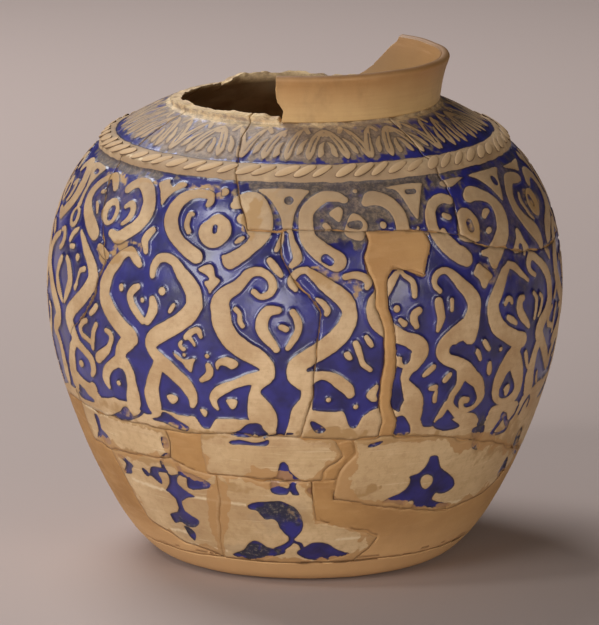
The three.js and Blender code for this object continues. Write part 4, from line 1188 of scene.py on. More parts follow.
def bands(rows: int, count: int, closed: bool = False) -> np.ndarray:
    """Returns the quads between rings of points that follow each other.

    Args:
        rows: how many rings there are.
        count: points in a ring.
        closed: whether the last ring is followed by the first.
    """
    index = np.arange(rows * count).reshape(rows, count)
    low, high = (index, np.roll(index, -1, axis=0)) if closed else (index[:-1], index[1:])
    return np.stack([low, high, np.roll(high, -1, axis=1), np.roll(low, -1, axis=1)], axis=-1).reshape(-1, 4)


def linked(name: str, data: bpy.types.ID) -> bpy.types.Object:
    """Adds an object to the scene."""
    item = bpy.data.objects.new(name, data)
    bpy.context.scene.collection.objects.link(item)
    return item


def new_piece(name: str, points: np.ndarray, faces: list, smooth: np.ndarray | bool,
              material: bpy.types.Material, layers: dict[str, np.ndarray]) -> bpy.types.Object:
    """Makes an object from points in millimetres, with its attributes.

    Args:
        name: the object's name.
        points: its points.
        faces: its faces.
        smooth: for each face, whether it is shaded smooth.
        material: its finish.
        layers: values at its points, one number or three colour channels each.
    """
    mesh = bpy.data.meshes.new(name)
    mesh.from_pydata((points * MM).tolist(), [], faces)
    mesh.polygons.foreach_set("use_smooth", np.broadcast_to(smooth, len(faces)).astype(bool))
    for layer, values in layers.items():
        if values.ndim == 1:
            mesh.attributes.new(layer, "FLOAT", "POINT").data.foreach_set("value", values)
        else:
            colours = np.ones((len(values), 4))
            colours[:, :3] = values
            attribute = mesh.attributes.new(layer, "FLOAT_COLOR", "POINT")
            attribute.data.foreach_set("color", colours.ravel())
    mesh.materials.append(material)
    mesh.update()
    log.info("%s: %d points, %d faces", name, len(points), len(faces))
    return linked(name, mesh)


def settle(piece: bpy.types.Object, node: str) -> None:
    """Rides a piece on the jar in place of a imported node."""
    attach(piece, "root")
    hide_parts(node)


@dataclass
class OuterFace:
    """What every piece of the outer face shares: its carving, wear and uneven surface.

    Args:
        carving: the carved field.
        sunk: how far the face lies under the profile, in millimetres.
        ground_depth: how deep the ground is cut.
        ground_shoulder: how wide the slope down to it is.
        frieze_foot: between which places up the ground gets shallower.
        frieze_shallow: the share of its depth that it loses there.
    """

    carving: Carving
    sunk: float = 0.26
    ground_depth: float = 0.95
    ground_shoulder: float = 1.05
    frieze_foot: tuple[float, float] = (268.0, 274.0)
    frieze_shallow: float = 0.45

    def drifted(self, places: np.ndarray) -> np.ndarray:
        """Returns break lines bent by one shared noise, so that neighbours still match."""
        around, up = places.T
        sideways = Noise.DRIFT_ROUND.at(around, up) + Noise.FINE_DRIFT_ROUND.at(around, up)
        upwards = Noise.DRIFT_UP.at(around, up) + Noise.FINE_DRIFT_UP.at(around, up)
        return places + unflat(np.stack([sideways, upwards], axis=1))

    def lift(self, around: np.ndarray, up: np.ndarray) -> np.ndarray:
        """Returns the height of the uncarved face over the profile."""
        return PROFILE.proud(up) - self.sunk + Noise.SWELL.at(around, up) + Noise.FINE_SWELL.at(around, up)

    def wear(self, around: np.ndarray, up: np.ndarray) -> np.ndarray:
        """Returns the channels of the wear attribute."""
        ragged = Noise.WEAR.at(around, up) + Noise.FINE_WEAR.at(around, up)
        channels = np.zeros((len(around), len(Wear)))
        for patch in PATCHES:
            index = patch.wear.value
            channels[:, index] = np.maximum(channels[:, index], patch.share(around, up, ragged))
        channels[:, Wear.PALE_SCRATCH.value] = self.scratches(around, up)
        return channels

    def scratches(self, around: np.ndarray, up: np.ndarray) -> np.ndarray:
        """Returns how much of the pale scratches shows."""
        result = np.zeros(len(around))
        ragged = Noise.SCRATCH.at(around, up)
        for line in SCRATCHES:
            points = self.carving.curve(np.array(line, float), False)
            for a, b in zip(points, points[1:]):
                away, _ = to_segment(a, b, around, up, FLAT_SCALE)
                result = np.maximum(result, 1.0 - smoothstep(-0.2, 0.7, away - a[2] + ragged))
        return result

    def layers(self, total: int, outer: slice, around: np.ndarray, up: np.ndarray, rim: np.ndarray,
               rim_elsewhere: float) -> dict[str, np.ndarray]:
        """Returns the attributes of a piece without carving.

        Args:
            total: how many points it has.
            outer: which of them lie on the outer face.
            around: degrees round of those.
            up: millimetres up of those.
            rim: how far those are from the break, in millimetres.
            rim_elsewhere: what the other points have for that.
        """
        layers = {"carving": np.full(total, UNCARVED), "rim": np.full(total, rim_elsewhere),
                  "skin": np.zeros(total), "wear": np.zeros((total, len(Wear)))}
        layers["rim"][outer] = np.minimum(rim, FAR_FROM_RIM)
        layers["skin"][outer] = 1.0
        layers["wear"][outer] = self.wear(around, up)
        return layers


@dataclass
class WallPiece:
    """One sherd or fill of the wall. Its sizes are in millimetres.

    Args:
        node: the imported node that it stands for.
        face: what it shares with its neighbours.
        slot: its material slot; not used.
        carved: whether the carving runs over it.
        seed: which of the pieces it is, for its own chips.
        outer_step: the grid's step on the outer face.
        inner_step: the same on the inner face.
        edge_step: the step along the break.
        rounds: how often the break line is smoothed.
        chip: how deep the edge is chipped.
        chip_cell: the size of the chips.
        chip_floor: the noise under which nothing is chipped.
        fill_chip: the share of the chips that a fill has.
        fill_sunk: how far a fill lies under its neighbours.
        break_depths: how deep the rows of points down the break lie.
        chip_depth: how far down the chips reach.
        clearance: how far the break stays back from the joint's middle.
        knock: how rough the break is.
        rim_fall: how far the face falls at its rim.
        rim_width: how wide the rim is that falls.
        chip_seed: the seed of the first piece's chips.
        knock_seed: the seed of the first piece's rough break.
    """

    node: str
    face: OuterFace
    slot: Slot = Slot.SHERD
    carved: bool = True
    seed: int = 0
    outer_step: float = 0.86
    inner_step: float = 3.6
    edge_step: float = 0.8
    rounds: int = 2
    chip: float = 0.42
    chip_cell: float = 4.5
    chip_floor: float = 0.35
    fill_chip: float = 0.4
    fill_sunk: float = 0.13
    break_depths: tuple[float, ...] = (0.3, 1.6, 3.4)
    chip_depth: float = 2.0
    clearance: float = 0.06
    knock: float = 0.18
    rim_fall: float = 0.08
    rim_width: float = 0.8
    chip_seed: int = 50
    knock_seed: int = 60

    def build(self, material: bpy.types.Material) -> bpy.types.Object:
        """Builds the closed mesh: outer face, broken edge and inner face."""
        loop = self.break_line()
        inward = inwards(loop)
        noise = value_noise(*unflat(loop).T, self.chip_cell, self.chip_seed + self.seed)
        bite = self.chip * np.maximum(noise - self.chip_floor, 0) * (1.0 if self.carved else self.fill_chip)
        outer, outer_faces = fill_loop(loop + inward * bite[:, None], self.outer_step)
        inner, inner_faces = fill_loop(loop, self.inner_step)
        around, up = unflat(outer).T
        carving, lift = self.relief(around, up)
        rim = self.to_rim(loop, outer)
        ragged = rim + Noise.WORN_RIM.at(around, up)
        lift -= self.rim_fall * (1.0 - smoothstep(0.0, self.rim_width, ragged))
        rows = self.broken_edge(loop, inward, bite, lift[:len(loop)])
        points = np.vstack([PROFILE.place(around, up, lift), *rows, self.inside(inner)])

        ring = np.arange(len(loop))
        levels = [ring, *(len(outer) + k * len(loop) + ring for k in range(len(rows) + 1))]
        strip = []
        for high, low in zip(levels, levels[1:]):
            strip += np.stack([high, low, np.roll(low, -1), np.roll(high, -1)], axis=1).tolist()
        inner_first = len(points) - len(inner)
        faces = outer_faces + strip + [[inner_first + i for i in reversed(face)] for face in inner_faces]
        smooth = np.repeat([True, False, True], [len(outer_faces), len(strip), len(inner_faces)])
        shown = slice(0, len(outer))
        layers = self.face.layers(len(points), shown, around, up, rim, 0.0)
        layers["carving"][shown] = carving
        name = f"{self.node}_{'carved' if self.carved else 'plaster'}"
        piece = new_piece(name, points, faces, smooth, material, layers)
        settle(piece, self.node)
        return piece

    def break_line(self) -> np.ndarray:
        """Returns the node's edge, laid flat, smoothed and bent."""
        loop = resample(flat(outline_of(self.node)), self.edge_step)
        loop = without_folds(loop, 0.7 * self.edge_step)
        for _ in range(self.rounds):
            loop = (np.roll(loop, 1, axis=0) + 2 * loop + np.roll(loop, -1, axis=0)) / 4
        return flat(self.face.drifted(unflat(loop)))

    def to_rim(self, loop: np.ndarray, points: np.ndarray) -> np.ndarray:
        """Returns how far each point is from the break line."""
        tree = KDTree(len(loop))
        for i, point in enumerate(loop):
            tree.insert((*point, 0.0), i)
        tree.balance()
        return np.array([tree.find((*point, 0.0))[2] for point in points])

    def broken_edge(self, loop: np.ndarray, inward: np.ndarray, bite: np.ndarray,
                    lift: np.ndarray) -> list[np.ndarray]:
        """Returns rows of points down the break.

        Args:
            loop: the break line, laid flat.
            inward: the way into the piece at each of its points.
            bite: how deep the edge is chipped there.
            lift: the height of the outer face there.
        """
        rough = np.random.default_rng(self.knock_seed + self.seed)
        rows = []
        for depth in self.break_depths:
            chipped = bite * (1.0 - min(depth / self.chip_depth, 1.0))
            knock = self.knock * rough.uniform(-1, 1, len(loop)) * (depth > 0.5)
            row = loop + inward * (chipped + self.clearance + np.abs(knock))[:, None]
            rows.append(PROFILE.place(*unflat(row).T, lift - depth))
        return rows

    def inside(self, inner: np.ndarray) -> np.ndarray:
        """Returns the points of the inner face from flat places."""
        around, up = unflat(inner).T
        return PROFILE.place(around, up, Noise.INSIDE.at(around, up) - PROFILE.thickness(up))

    def relief(self, around: np.ndarray, up: np.ndarray) -> tuple[np.ndarray, np.ndarray]:
        """Returns the carving's distance and the height of the face at each place."""
        lift = self.face.lift(around, up)
        if not self.carved:
            return np.full(len(around), UNCARVED), lift - self.fill_sunk + Noise.SMEAR.at(around, up)
        carving = self.face.carving.read(around, up) + Noise.CUT_EDGE.at(around, up)
        shallow = 1.0 - self.face.frieze_shallow * smoothstep(*self.face.frieze_foot, up)
        depth = self.face.ground_depth * shallow * smoothstep(-0.25, self.face.ground_shoulder, carving)
        return carving, lift - depth


@dataclass
class FootAndFloor:
    """The heel, foot ring and floor, cast as one fill, up to the heel's break.

    Args:
        node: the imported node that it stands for.
        face: what it shares with its neighbours.
        columns: points round the jar.
        outer_rows: rows of points up the outside.
        inner_rows: rows down the inside.
        floor_rings: rings of points on the floor, above and below.
        ring_width: the foot ring's width in millimetres.
        recess: how high the floor's underside lies.
        floor_thickness: the floor's thickness.
        floor_fillet: the rounding between floor and wall.
        fillet_rows: rows of points round it.
        inner_foot: where the inside's wall ends, in millimetres up.
        break_depths: how deep the rows of points down the break lie.
    """

    node: str
    face: OuterFace
    columns: int = 420
    outer_rows: int = 34
    inner_rows: int = 20
    floor_rings: int = 16
    ring_width: float = 11.0
    recess: float = 2.2
    floor_thickness: float = 8.0
    floor_fillet: float = 9.0
    fillet_rows: int = 6
    inner_foot: float = 25.0
    break_depths: tuple[float, ...] = (0.4, 2.2, 4.2)

    def build(self, material: bpy.types.Material) -> bpy.types.Object:
        """Builds the closed mesh: rings that run out under the floor, up the outside and back inside."""
        edge = self.face.drifted(outline_of(self.node))
        order = np.argsort(edge[:, 0] % FULL_TURN)
        around = np.linspace(0, FULL_TURN, self.columns, endpoint=False)
        top = np.interp(around, edge[order, 0] % FULL_TURN, edge[order, 1], period=FULL_TURN)
        ups = np.linspace(0, 1, self.outer_rows)[:, None] ** 1.1 * top
        under = self.under(around)
        outside = [PROFILE.place(around, up, self.face.lift(around, up) * smoothstep(0, 9, up)) for up in ups]
        rows = under + outside + self.inside(around, top)
        middles = [[0, 0, self.recess], [0, 0, self.recess + self.floor_thickness]]
        points = np.vstack([*rows, middles])
        faces = bands(len(rows), self.columns)[:, ::-1].tolist()
        below, above = len(points) - 2, len(points) - 1
        last = (len(rows) - 1) * self.columns
        for i in range(self.columns):
            j = (i + 1) % self.columns
            faces += [(j, i, below), (last + i, last + j, above)]
        first = len(under) * self.columns
        outer = slice(first, first + ups.size)
        layers = self.face.layers(len(points), outer, np.tile(around, self.outer_rows), ups.ravel(),
                                  (top - ups).ravel(), FAR_FROM_RIM)
        piece = new_piece("foot_and_floor_plaster", points, faces, True, material, layers)
        settle(piece, self.node)
        return piece

    def under(self, around: np.ndarray) -> list[np.ndarray]:
        """Returns the rings from the middle of the recess out to the foot ring."""
        inner = PROFILE.foot_radius - self.ring_width
        shares = np.linspace(0.1, 1, self.floor_rings)
        rings = [(share * (inner - self.recess), self.recess) for share in shares]
        rings += [(inner - 0.4, 0.5), (inner + 0.4, 0.0), (inner + self.ring_width / 2, 0.0)]
        return [round_jar(radius, around, height) for radius, height in rings]

    def inside(self, around: np.ndarray, top: np.ndarray) -> list[np.ndarray]:
        """Returns the rings down the break and the wall, round the fillet and in over the floor."""
        rows = [PROFILE.place(around, top - 0.1, -depth) for depth in self.break_depths]
        for share in np.linspace(0, 1, self.inner_rows):
            rows.append(PROFILE.place(around, top + (self.inner_foot - top) * share, -PROFILE.wall_thickness))
        wall = np.hypot(rows[-1][:, 0], rows[-1][:, 1]).mean()
        floor = self.recess + self.floor_thickness
        drop = rows[-1][:, 2].mean() - floor
        rings = [(wall - self.floor_fillet * (1 - math.cos(turn)), floor + drop * (1 - math.sin(turn)))
                 for turn in np.linspace(0, math.pi / 2, self.fillet_rows + 1)[1:]]
        shares = np.linspace(1, 0.1, self.floor_rings)[1:]
        rings += [(share * (wall - self.floor_fillet), floor) for share in shares]
        return rows + [round_jar(radius, around, height) for radius, height in rings]


@dataclass
class NeckCollar:
    """The part of the neck that is left, with its turned lip and two broken ends.

    Args:
        node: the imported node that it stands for.
        columns: sections from end to end.
        outer_rows: points up the outside of a section, and down its inside.
        lip_rows: points round its lip, with the outer and the inner edge.
        rough: how rough the broken ends are, in millimetres.
        degree: a degree's width there, in millimetres.
        column_width: the width from one section to the next.
        inset: how far it lies inside the profile.
        lip_dip: how far its lip dips between its high places.
        seed: the seed of its broken ends.
    """

    node: str
    columns: int = 620
    outer_rows: int = 34
    lip_rows: int = 12
    rough: float = 0.35
    degree: float = 1.3
    column_width: float = 0.48
    inset: float = 0.12
    lip_dip: float = 0.25
    seed: int = 71

    def build(self, material: bpy.types.Material) -> bpy.types.Object:
        """Builds the closed mesh: one section carried round between the two broken ends."""
        edge = outline_of(self.node)
        levels = np.linspace(edge[:, 1].min(), edge[:, 1].max(), self.outer_rows)
        left, right = self.ends(edge, levels)
        radius, height, level = self.section(levels).T
        across = len(level)
        rough = self.rough * np.random.default_rng(self.seed).uniform(0, 1, (2, across)) / self.degree
        starts, ends = left[level.astype(int)] + rough[0], right[level.astype(int)] - rough[1]
        around = starts + (ends - starts) * np.linspace(0, 1, self.columns)[:, None]
        lip = PROFILE.lip[1]
        sway = Noise.COLLAR_SWAY.at(around, height + 0 * around)
        dip = self.lip_dip + Noise.COLLAR_LIP.at(around, 0 * around)
        points = round_jar(radius - self.inset + sway * (height < lip - 1), around,
                           height - 0.02 - dip * (height > lip - 3)).reshape(-1, 3)

        faces = bands(self.columns, across).tolist()
        smooth_faces = len(faces)
        index = np.arange(len(points)).reshape(self.columns, across)
        faces += self.cap(index[0].tolist()) + [face[::-1] for face in self.cap(index[-1].tolist())]
        inner = np.tile(np.arange(across) >= self.outer_rows + self.lip_rows // 2, self.columns)
        column = np.repeat(np.arange(self.columns), across)
        to_end = np.minimum(column, self.columns - 1 - column) * self.column_width
        layers = {"rim": np.minimum(to_end, FAR_FROM_RIM), "skin": np.where(inner, 0.0, 1.0)}
        smooth = np.arange(len(faces)) < smooth_faces
        piece = new_piece("neck_collar_worn", points, faces, smooth, material, layers)
        settle(piece, self.node)
        return piece

    def section(self, levels: np.ndarray) -> np.ndarray:
        """Returns the section's rows of radius, height and level: outside, lip and inside."""
        radius, height = PROFILE.lip
        rounding = PROFILE.lip_rounding
        last = self.outer_rows - 1
        rows = [(*PROFILE.sample("line", up), i) for i, up in enumerate(levels)]
        for turn in np.linspace(0, math.pi, self.lip_rows)[1:-1]:
            rows.append((radius - rounding + rounding * math.cos(turn),
                         height + rounding * math.sin(turn), last))
        for i in range(last, -1, -1):
            up = levels[i]
            way = PROFILE.sample("out", up) if i > last - 2 else self.collar_out(up)
            rows.append((*(PROFILE.sample("line", up) - PROFILE.neck_thickness * way), i))
        return np.array(rows)

    def collar_out(self, up: float) -> np.ndarray:
        """Returns the way out of the collar itself, without the shoulder's share."""
        low = max(up - 0.4, PROFILE.neck_up)
        return outwards(PROFILE.sample("line", low + 0.8) - PROFILE.sample("line", low))

    def ends(self, edge: np.ndarray, levels: np.ndarray) -> tuple[np.ndarray, np.ndarray]:
        """Returns degrees round of the two broken ends at each level."""
        levels = np.clip(levels, edge[:, 1].min() + 0.3, edge[:, 1].max() - 0.3)
        hits = [crossings(edge, level) for level in levels]
        return np.array([hit.min() for hit in hits]), np.array([hit.max() for hit in hits])

    def cap(self, ring: list[int]) -> list[tuple[int, ...]]:
        """Returns faces that close one end, as quads between its outer and inner side."""
        outer, inner = ring[:self.outer_rows], ring[:-self.outer_rows - 1:-1]
        faces = list(zip(outer, outer[1:], inner[1:], inner))
        return [*faces, (outer[-1], *ring[self.outer_rows:-self.outer_rows], inner[-1])]


@dataclass
class JointGlue:
    """The toned glue that shows between the sherds: a thin ring shell set just under the outer face.

    It lies close under the face where that is plain and sinks where the ground is carved out.

    Args:
        name: the piece's name.
        face: what the sherds share.
        foot: where it starts, in millimetres up.
        top: where it ends.
        columns: points round the jar.
        step: from one row of points to the next, in millimetres.
        sunk: how deep it lies under the plain face.
        carved_sunk: how much deeper it lies near the carved ground.
        inner: how deep its inner side lies.
        inner_rows: rows of points on that side.
    """

    name: str
    face: OuterFace
    foot: float
    top: float
    columns: int = 420
    step: float = 2.1
    sunk: float = 0.16
    carved_sunk: float = 1.35
    inner: float = 2.6
    inner_rows: int = 12

    def build(self, material: bpy.types.Material) -> bpy.types.Object:
        """Builds the closed shell."""
        around = np.linspace(0, FULL_TURN, self.columns, endpoint=False)
        rows = []
        for up in np.arange(self.foot, self.top, self.step):
            level = up + 0 * around
            near_ground = smoothstep(-2.9, -1.7, self.face.carving.read(around, level))
            lift = self.face.lift(around, level) - self.sunk - self.carved_sunk * near_ground
            rows.append(PROFILE.place(around, level, lift))
        for up in np.linspace(self.top, self.foot, self.inner_rows):
            rows.append(PROFILE.place(around, up + 0 * around, -self.inner))
        faces = bands(len(rows), self.columns, closed=True)[:, [0, 3, 2, 1]].tolist()
        points = np.vstack(rows)
        layers = {"rim": np.full(len(points), FAR_FROM_RIM)}
        piece = new_piece(self.name, points, faces, True, material, layers)
        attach(piece, "root")
        return piece


def input_id(tree: bpy.types.NodeTree, name: str) -> str:
    """Returns the identifier of a tree's input socket by its name."""
    for item in tree.interface.items_tree:
        if item.item_type == "SOCKET" and item.in_out == "INPUT" and item.name == name:
            return item.identifier
    raise KeyError(name)


class NodeTools:
    """Short calls that add nodes to one tree and link them.

    Where a call takes a value, a socket is linked and anything else is set.

    Args:
        tree: the tree.
        clamp: whether the results of Math nodes are kept from 0 to 1.
    """

    def __init__(self, tree: bpy.types.NodeTree, clamp: bool = True) -> None:
        """Keeps the tree."""
        self.tree = tree
        self.clamp = clamp

    def put(self, value: object, socket: Socket) -> None:
        """Links a socket, or sets a value, on an input."""
        if isinstance(value, Socket):
            self.tree.links.new(value, socket)
        else:
            socket.default_value = value

    def add(self, kind: str, *values: object, **named: object) -> bpy.types.Node:
        """Adds a node, with values for its first inputs in their order and for named inputs."""
        node = self.tree.nodes.new(kind)
        for socket, value in zip(node.inputs, values):
            self.put(value, socket)
        for name, value in named.items():
            self.put(value, node.inputs[name.replace("_", " ")])
        return node

    def calc(self, operation: str, *values: object) -> Socket:
        """Adds a Math node and returns its result."""
        node = self.add("ShaderNodeMath", *values)
        node.operation = operation
        node.use_clamp = self.clamp
        return node.outputs[0]

    def times(self, first: object, *others: object) -> Socket:
        """Returns a product."""
        for other in others:
            first = self.calc("MULTIPLY", first, other)
        return first

    def vector(self, operation: str, output: str, *values: object) -> Socket:
        """Adds a Vector Math node and returns one of its results."""
        node = self.add("ShaderNodeVectorMath", *values)
        node.operation = operation
        return node.outputs[output]

    def joined(self, *values: object) -> Socket:
        """Joins three values into a vector."""
        return self.add("ShaderNodeCombineXYZ", *values).outputs[0]

    def split(self, vector: Socket) -> Sequence[Socket]:
        """Returns the three parts of a vector."""
        return tuple(self.add("ShaderNodeSeparateXYZ", vector).outputs)

    def ramp(self, value: object, low: float, high: float, start: float = 0.0, end: float = 1.0) -> Socket:
        """Returns a value carried smoothly from low..high to start..end."""
        node = self.add("ShaderNodeMapRange", value, low, high, start, end)
        node.interpolation_type = "SMOOTHSTEP"
        return node.outputs["Result"]

    def mix(self, share: object, first: object, second: object) -> Socket:
        """Returns the colour between two, by a share."""
        node = self.tree.nodes.new("ShaderNodeMix")
        node.data_type = "RGBA"
        sockets = {socket.identifier: socket for socket in (*node.inputs, *node.outputs)}
        for name, value in (("Factor_Float", share), ("A_Color", first), ("B_Color", second)):
            self.put(value, sockets[name])
        return sockets["Result_Color"]

    def tint(self, colour: object, tone: object, share: object, strength: object) -> Socket:
        """Returns a colour with a share of another tone over it."""
        return self.mix(self.times(share, strength), colour, tone)

    def coordinates(self) -> Socket:
        """Returns the piece's own coordinates."""
        return self.add("ShaderNodeTexCoord").outputs["Object"]

    def noise(self, scale: float, detail: float, roughness: float = 0.55, shift: float = 0.0,
              stretch: tuple[float, float, float] = (1, 1, 1)) -> Socket:
        """Returns noise over the piece's own coordinates, in grains per metre."""
        mapping = self.add("ShaderNodeMapping", self.coordinates(), Scale=stretch, Location=[shift] * 3)
        node = self.add("ShaderNodeTexNoise", mapping.outputs[0], Scale=scale, Detail=detail,
                        Roughness=roughness)
        return node.outputs["Fac"]

    def blotches(self, scale: float, detail: float, low: float, high: float, start: float = 0.0,
                 end: float = 1.0, **looks: object) -> Socket:
        """Returns noise carried smoothly from low..high to start..end."""
        return self.ramp(self.noise(scale, detail, **looks), low, high, start, end)

    def attribute(self, name: str, output: str = "Fac") -> Socket:
        """Returns one of the mesh's attributes."""
        node = self.add("ShaderNodeAttribute")
        node.attribute_name = name
        return node.outputs[output]

    def group(self, group: bpy.types.NodeTree, **values: object) -> Sockets:
        """Adds a node group with its values and returns its outputs."""
        node = self.add("ShaderNodeGroup")
        node.node_tree = group
        for name, value in values.items():
            self.put(value, node.inputs[name.replace("_", " ")])
        return node.outputs

    def bump(self, height: object, strength: float, distance: float) -> Socket:
        """Returns a normal raised by a height."""
        node = self.add("ShaderNodeBump", Height=height, Strength=strength, Distance=distance)
        return node.outputs["Normal"]


@dataclass
class RopeMoulding:
    """The low slanting strands pressed into the moulding round the shoulder.

    Args:
        count: how many strands there are.
        length: a strand's length in millimetres.
        width: its width.
        rise: its height.
        slant: its angle to the moulding.
        sunk: how far its middle lies under the moulding's top.
        seed: the seed of its random sizes and places.
        segments: a strand's sides.
        rings: the rings of points along it.
    """

    count: int = 66
    length: float = 14.0
    width: float = 4.9
    rise: float = 1.8
    slant: float = math.radians(31)
    sunk: float = 0.45
    seed: int = 8
    segments: int = 20
    rings: int = 12

    def build(self, material: bpy.types.Material) -> bpy.types.Object:
        """Builds the strands round the moulding's middle with Geometry Nodes."""
        middle = PROFILE.neck_up - PROFILE.moulding_below_neck
        out = PROFILE.sample("out", middle)
        seat = PROFILE.sample("line", middle) + out * (PROFILE.moulding_proud - self.sunk)
        tree = self.tree(material)
        host = linked("rope_host", bpy.data.meshes.new("rope_host"))
        modifier = host.modifiers.new("rope", "NODES")
        modifier.node_group = tree
        values = {
            "Count": self.count, "Seed": self.seed, "Slant": self.slant, "Lean": math.atan2(out[1], out[0]),
            "Radius": seat[0] * MM, "Height": seat[1] * MM,
            "Length": self.length * MM, "Width": self.width * MM, "Rise": self.rise * MM,
        }
        for name, value in values.items():
            modifier[input_id(tree, name)] = value
        graph = bpy.context.evaluated_depsgraph_get()
        graph.update()
        mesh = bpy.data.meshes.new_from_object(host.evaluated_get(graph))
        bpy.data.objects.remove(host)
        piece = linked("rope_strands", mesh)
        log.info("rope_strands: %d faces", len(mesh.polygons))
        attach(piece, "root")
        return piece

    def tree(self, material: bpy.types.Material) -> bpy.types.NodeTree:
        """Returns the node tree that sets one strand on each point of the ring."""
        tree = bpy.data.node_groups.new("rope_strands", "GeometryNodeTree")
        face = tree.interface
        face.new_socket("Geometry", in_out="INPUT", socket_type="NodeSocketGeometry")
        for name in ("Count", "Seed"):
            face.new_socket(name, in_out="INPUT", socket_type="NodeSocketInt")
        for name in ("Radius", "Height", "Lean", "Slant", "Length", "Width", "Rise"):
            face.new_socket(name, in_out="INPUT", socket_type="NodeSocketFloat")
        face.new_socket("Geometry", in_out="OUTPUT", socket_type="NodeSocketGeometry")
        n = NodeTools(tree, clamp=False)
        source = n.add("NodeGroupInput").outputs

        def scatter(low: float, high: float, shift: int) -> Socket:
            """Returns a random value for each strand."""
            node = tree.nodes.new("FunctionNodeRandomValue")
            node.data_type = "FLOAT"
            sockets = {socket.identifier: socket for socket in (*node.inputs, *node.outputs)}
            n.put(low, sockets["Min_001"])
            n.put(high, sockets["Max_001"])
            n.put(n.calc("ADD", source["Seed"], float(shift)), sockets["Seed"])
            return sockets["Value_001"]

        index = n.add("GeometryNodeInputIndex").outputs[0]
        shaken = n.calc("ADD", index, scatter(-0.12, 0.12, 1))
        turn = n.calc("DIVIDE", n.times(shaken, math.tau), source["Count"])
        sine, cosine = n.calc("SINE", turn), n.calc("COSINE", turn)
        back = n.times(cosine, -1.0)
        place = n.joined(n.times(sine, source["Radius"]), n.times(back, source["Radius"]), source["Height"])
        flat_out, high_out = n.calc("COSINE", source["Lean"]), n.calc("SINE", source["Lean"])
        normal = n.joined(n.times(sine, flat_out), n.times(back, flat_out), high_out)
        slant = n.calc("ADD", source["Slant"], scatter(-0.16, 0.16, 2))
        along, across = n.calc("COSINE", slant), n.calc("SINE", slant)
        climb = n.times(across, high_out)
        way = n.joined(n.calc("SUBTRACT", n.times(cosine, along), n.times(sine, climb)),
                       n.calc("ADD", n.times(sine, along), n.times(cosine, climb)),
                       n.times(across, flat_out))
        size = n.joined(n.times(source["Length"], scatter(0.85, 1.1, 3)),
                        n.times(source["Width"], scatter(0.8, 1.15, 4)),
                        n.times(source["Rise"], scatter(0.75, 1.1, 5)))
        points = n.add("GeometryNodePoints", Count=source["Count"], Position=place)
        strand = n.add("GeometryNodeMeshUVSphere", Segments=self.segments, Rings=self.rings, Radius=0.5)
        upright = n.add("FunctionNodeAlignRotationToVector", Vector=normal)
        upright.axis = "Z"
        laid = n.add("FunctionNodeAlignRotationToVector", Rotation=upright.outputs[0], Vector=way)
        laid.axis = "X"
        laid.pivot_axis = "Z"
        spread = n.add("GeometryNodeInstanceOnPoints", Points=points.outputs[0],
                       Instance=strand.outputs["Mesh"], Rotation=laid.outputs[0], Scale=size)
        real = n.add("GeometryNodeRealizeInstances", spread.outputs[0])
        smooth = n.add("GeometryNodeSetShadeSmooth", real.outputs[0])
        dress = n.add("GeometryNodeSetMaterial", smooth.outputs[0], Material=material)
        n.add("NodeGroupOutput", dress.outputs[0])
        return tree


def linear(red: int, green: int, blue: int) -> tuple[float, float, float, float]:
    """Returns a colour seen as 0 to 255 values as the linear colour that a shader takes."""
    channels = [v / 255 for v in (red, green, blue)]
    return (*(v / 12.92 if v <= 0.04045 else ((v + 0.055) / 1.055) ** 2.4 for v in channels), 1.0)


def new_group(name: str, inputs: dict[str, float], outputs: Sequence[str],
              clamp: bool = True) -> tuple[NodeTools, Sockets, Sockets]:
    """Starts a shader node group, and returns its tools, what comes in and what goes out."""
    tree = bpy.data.node_groups.new(name, "ShaderNodeTree")
    for title, value in inputs.items():
        socket = tree.interface.new_socket(title, in_out="INPUT", socket_type="NodeSocketFloat")
        socket.default_value = value
    for title in outputs:
        tree.interface.new_socket(title, in_out="OUTPUT", socket_type="NodeSocketFloat")
    n = NodeTools(tree, clamp)
    return n, n.add("NodeGroupInput").outputs, n.add("NodeGroupOutput").inputs


def edge_wear_group() -> bpy.types.NodeTree:
    """Builds the wear along a broken edge: a ragged worn strip and a dirty line at the joint."""
    n, source, result = new_group("edge_wear", {"Rim": 10.0, "Width": 1.2}, ("Worn", "Dirt"), clamp=False)
    reach = n.times(source["Width"], n.blotches(46, 3, 0.35, 0.75, 0.15, 2.4, shift=3.0))
    gap = n.calc("SUBTRACT", reach, source["Rim"])
    ragged = n.calc("ADD", gap, n.blotches(260, 5, 0.3, 0.7, -0.9, 0.5, roughness=0.7))
    n.put(n.ramp(ragged, -0.1, 0.25), result["Worn"])
    n.put(n.ramp(source["Rim"], 0.05, 0.4, 1.0, 0.0), result["Dirt"])
    return n.tree


def clay_grain_group() -> bpy.types.NodeTree:
    """Builds the grain of fired clay: broad mottling, dark specks, pits and turning lines."""
    n, source, result = new_group("clay_grain", {"Speck Share": 0.5}, ("Mottle", "Specks", "Lines", "Height"))
    specks = n.blotches(420, 6, 0.62, 0.74, roughness=0.8, shift=1.7)
    lines = n.noise(26, 5, stretch=(1.0, 1.0, 22.0), roughness=0.7, shift=0.6)
    pitted = n.calc("SUBTRACT", n.noise(900, 5, roughness=0.75), n.times(specks, 0.4))
    n.put(n.noise(30, 6, roughness=0.62), result["Mottle"])
    n.put(n.times(specks, source["Speck Share"]), result["Specks"])
    n.put(n.ramp(lines, 0.35, 0.7), result["Lines"])
    n.put(n.calc("ADD", n.times(pitted, 0.7), n.times(lines, 0.3)), result["Height"])
    return n.tree


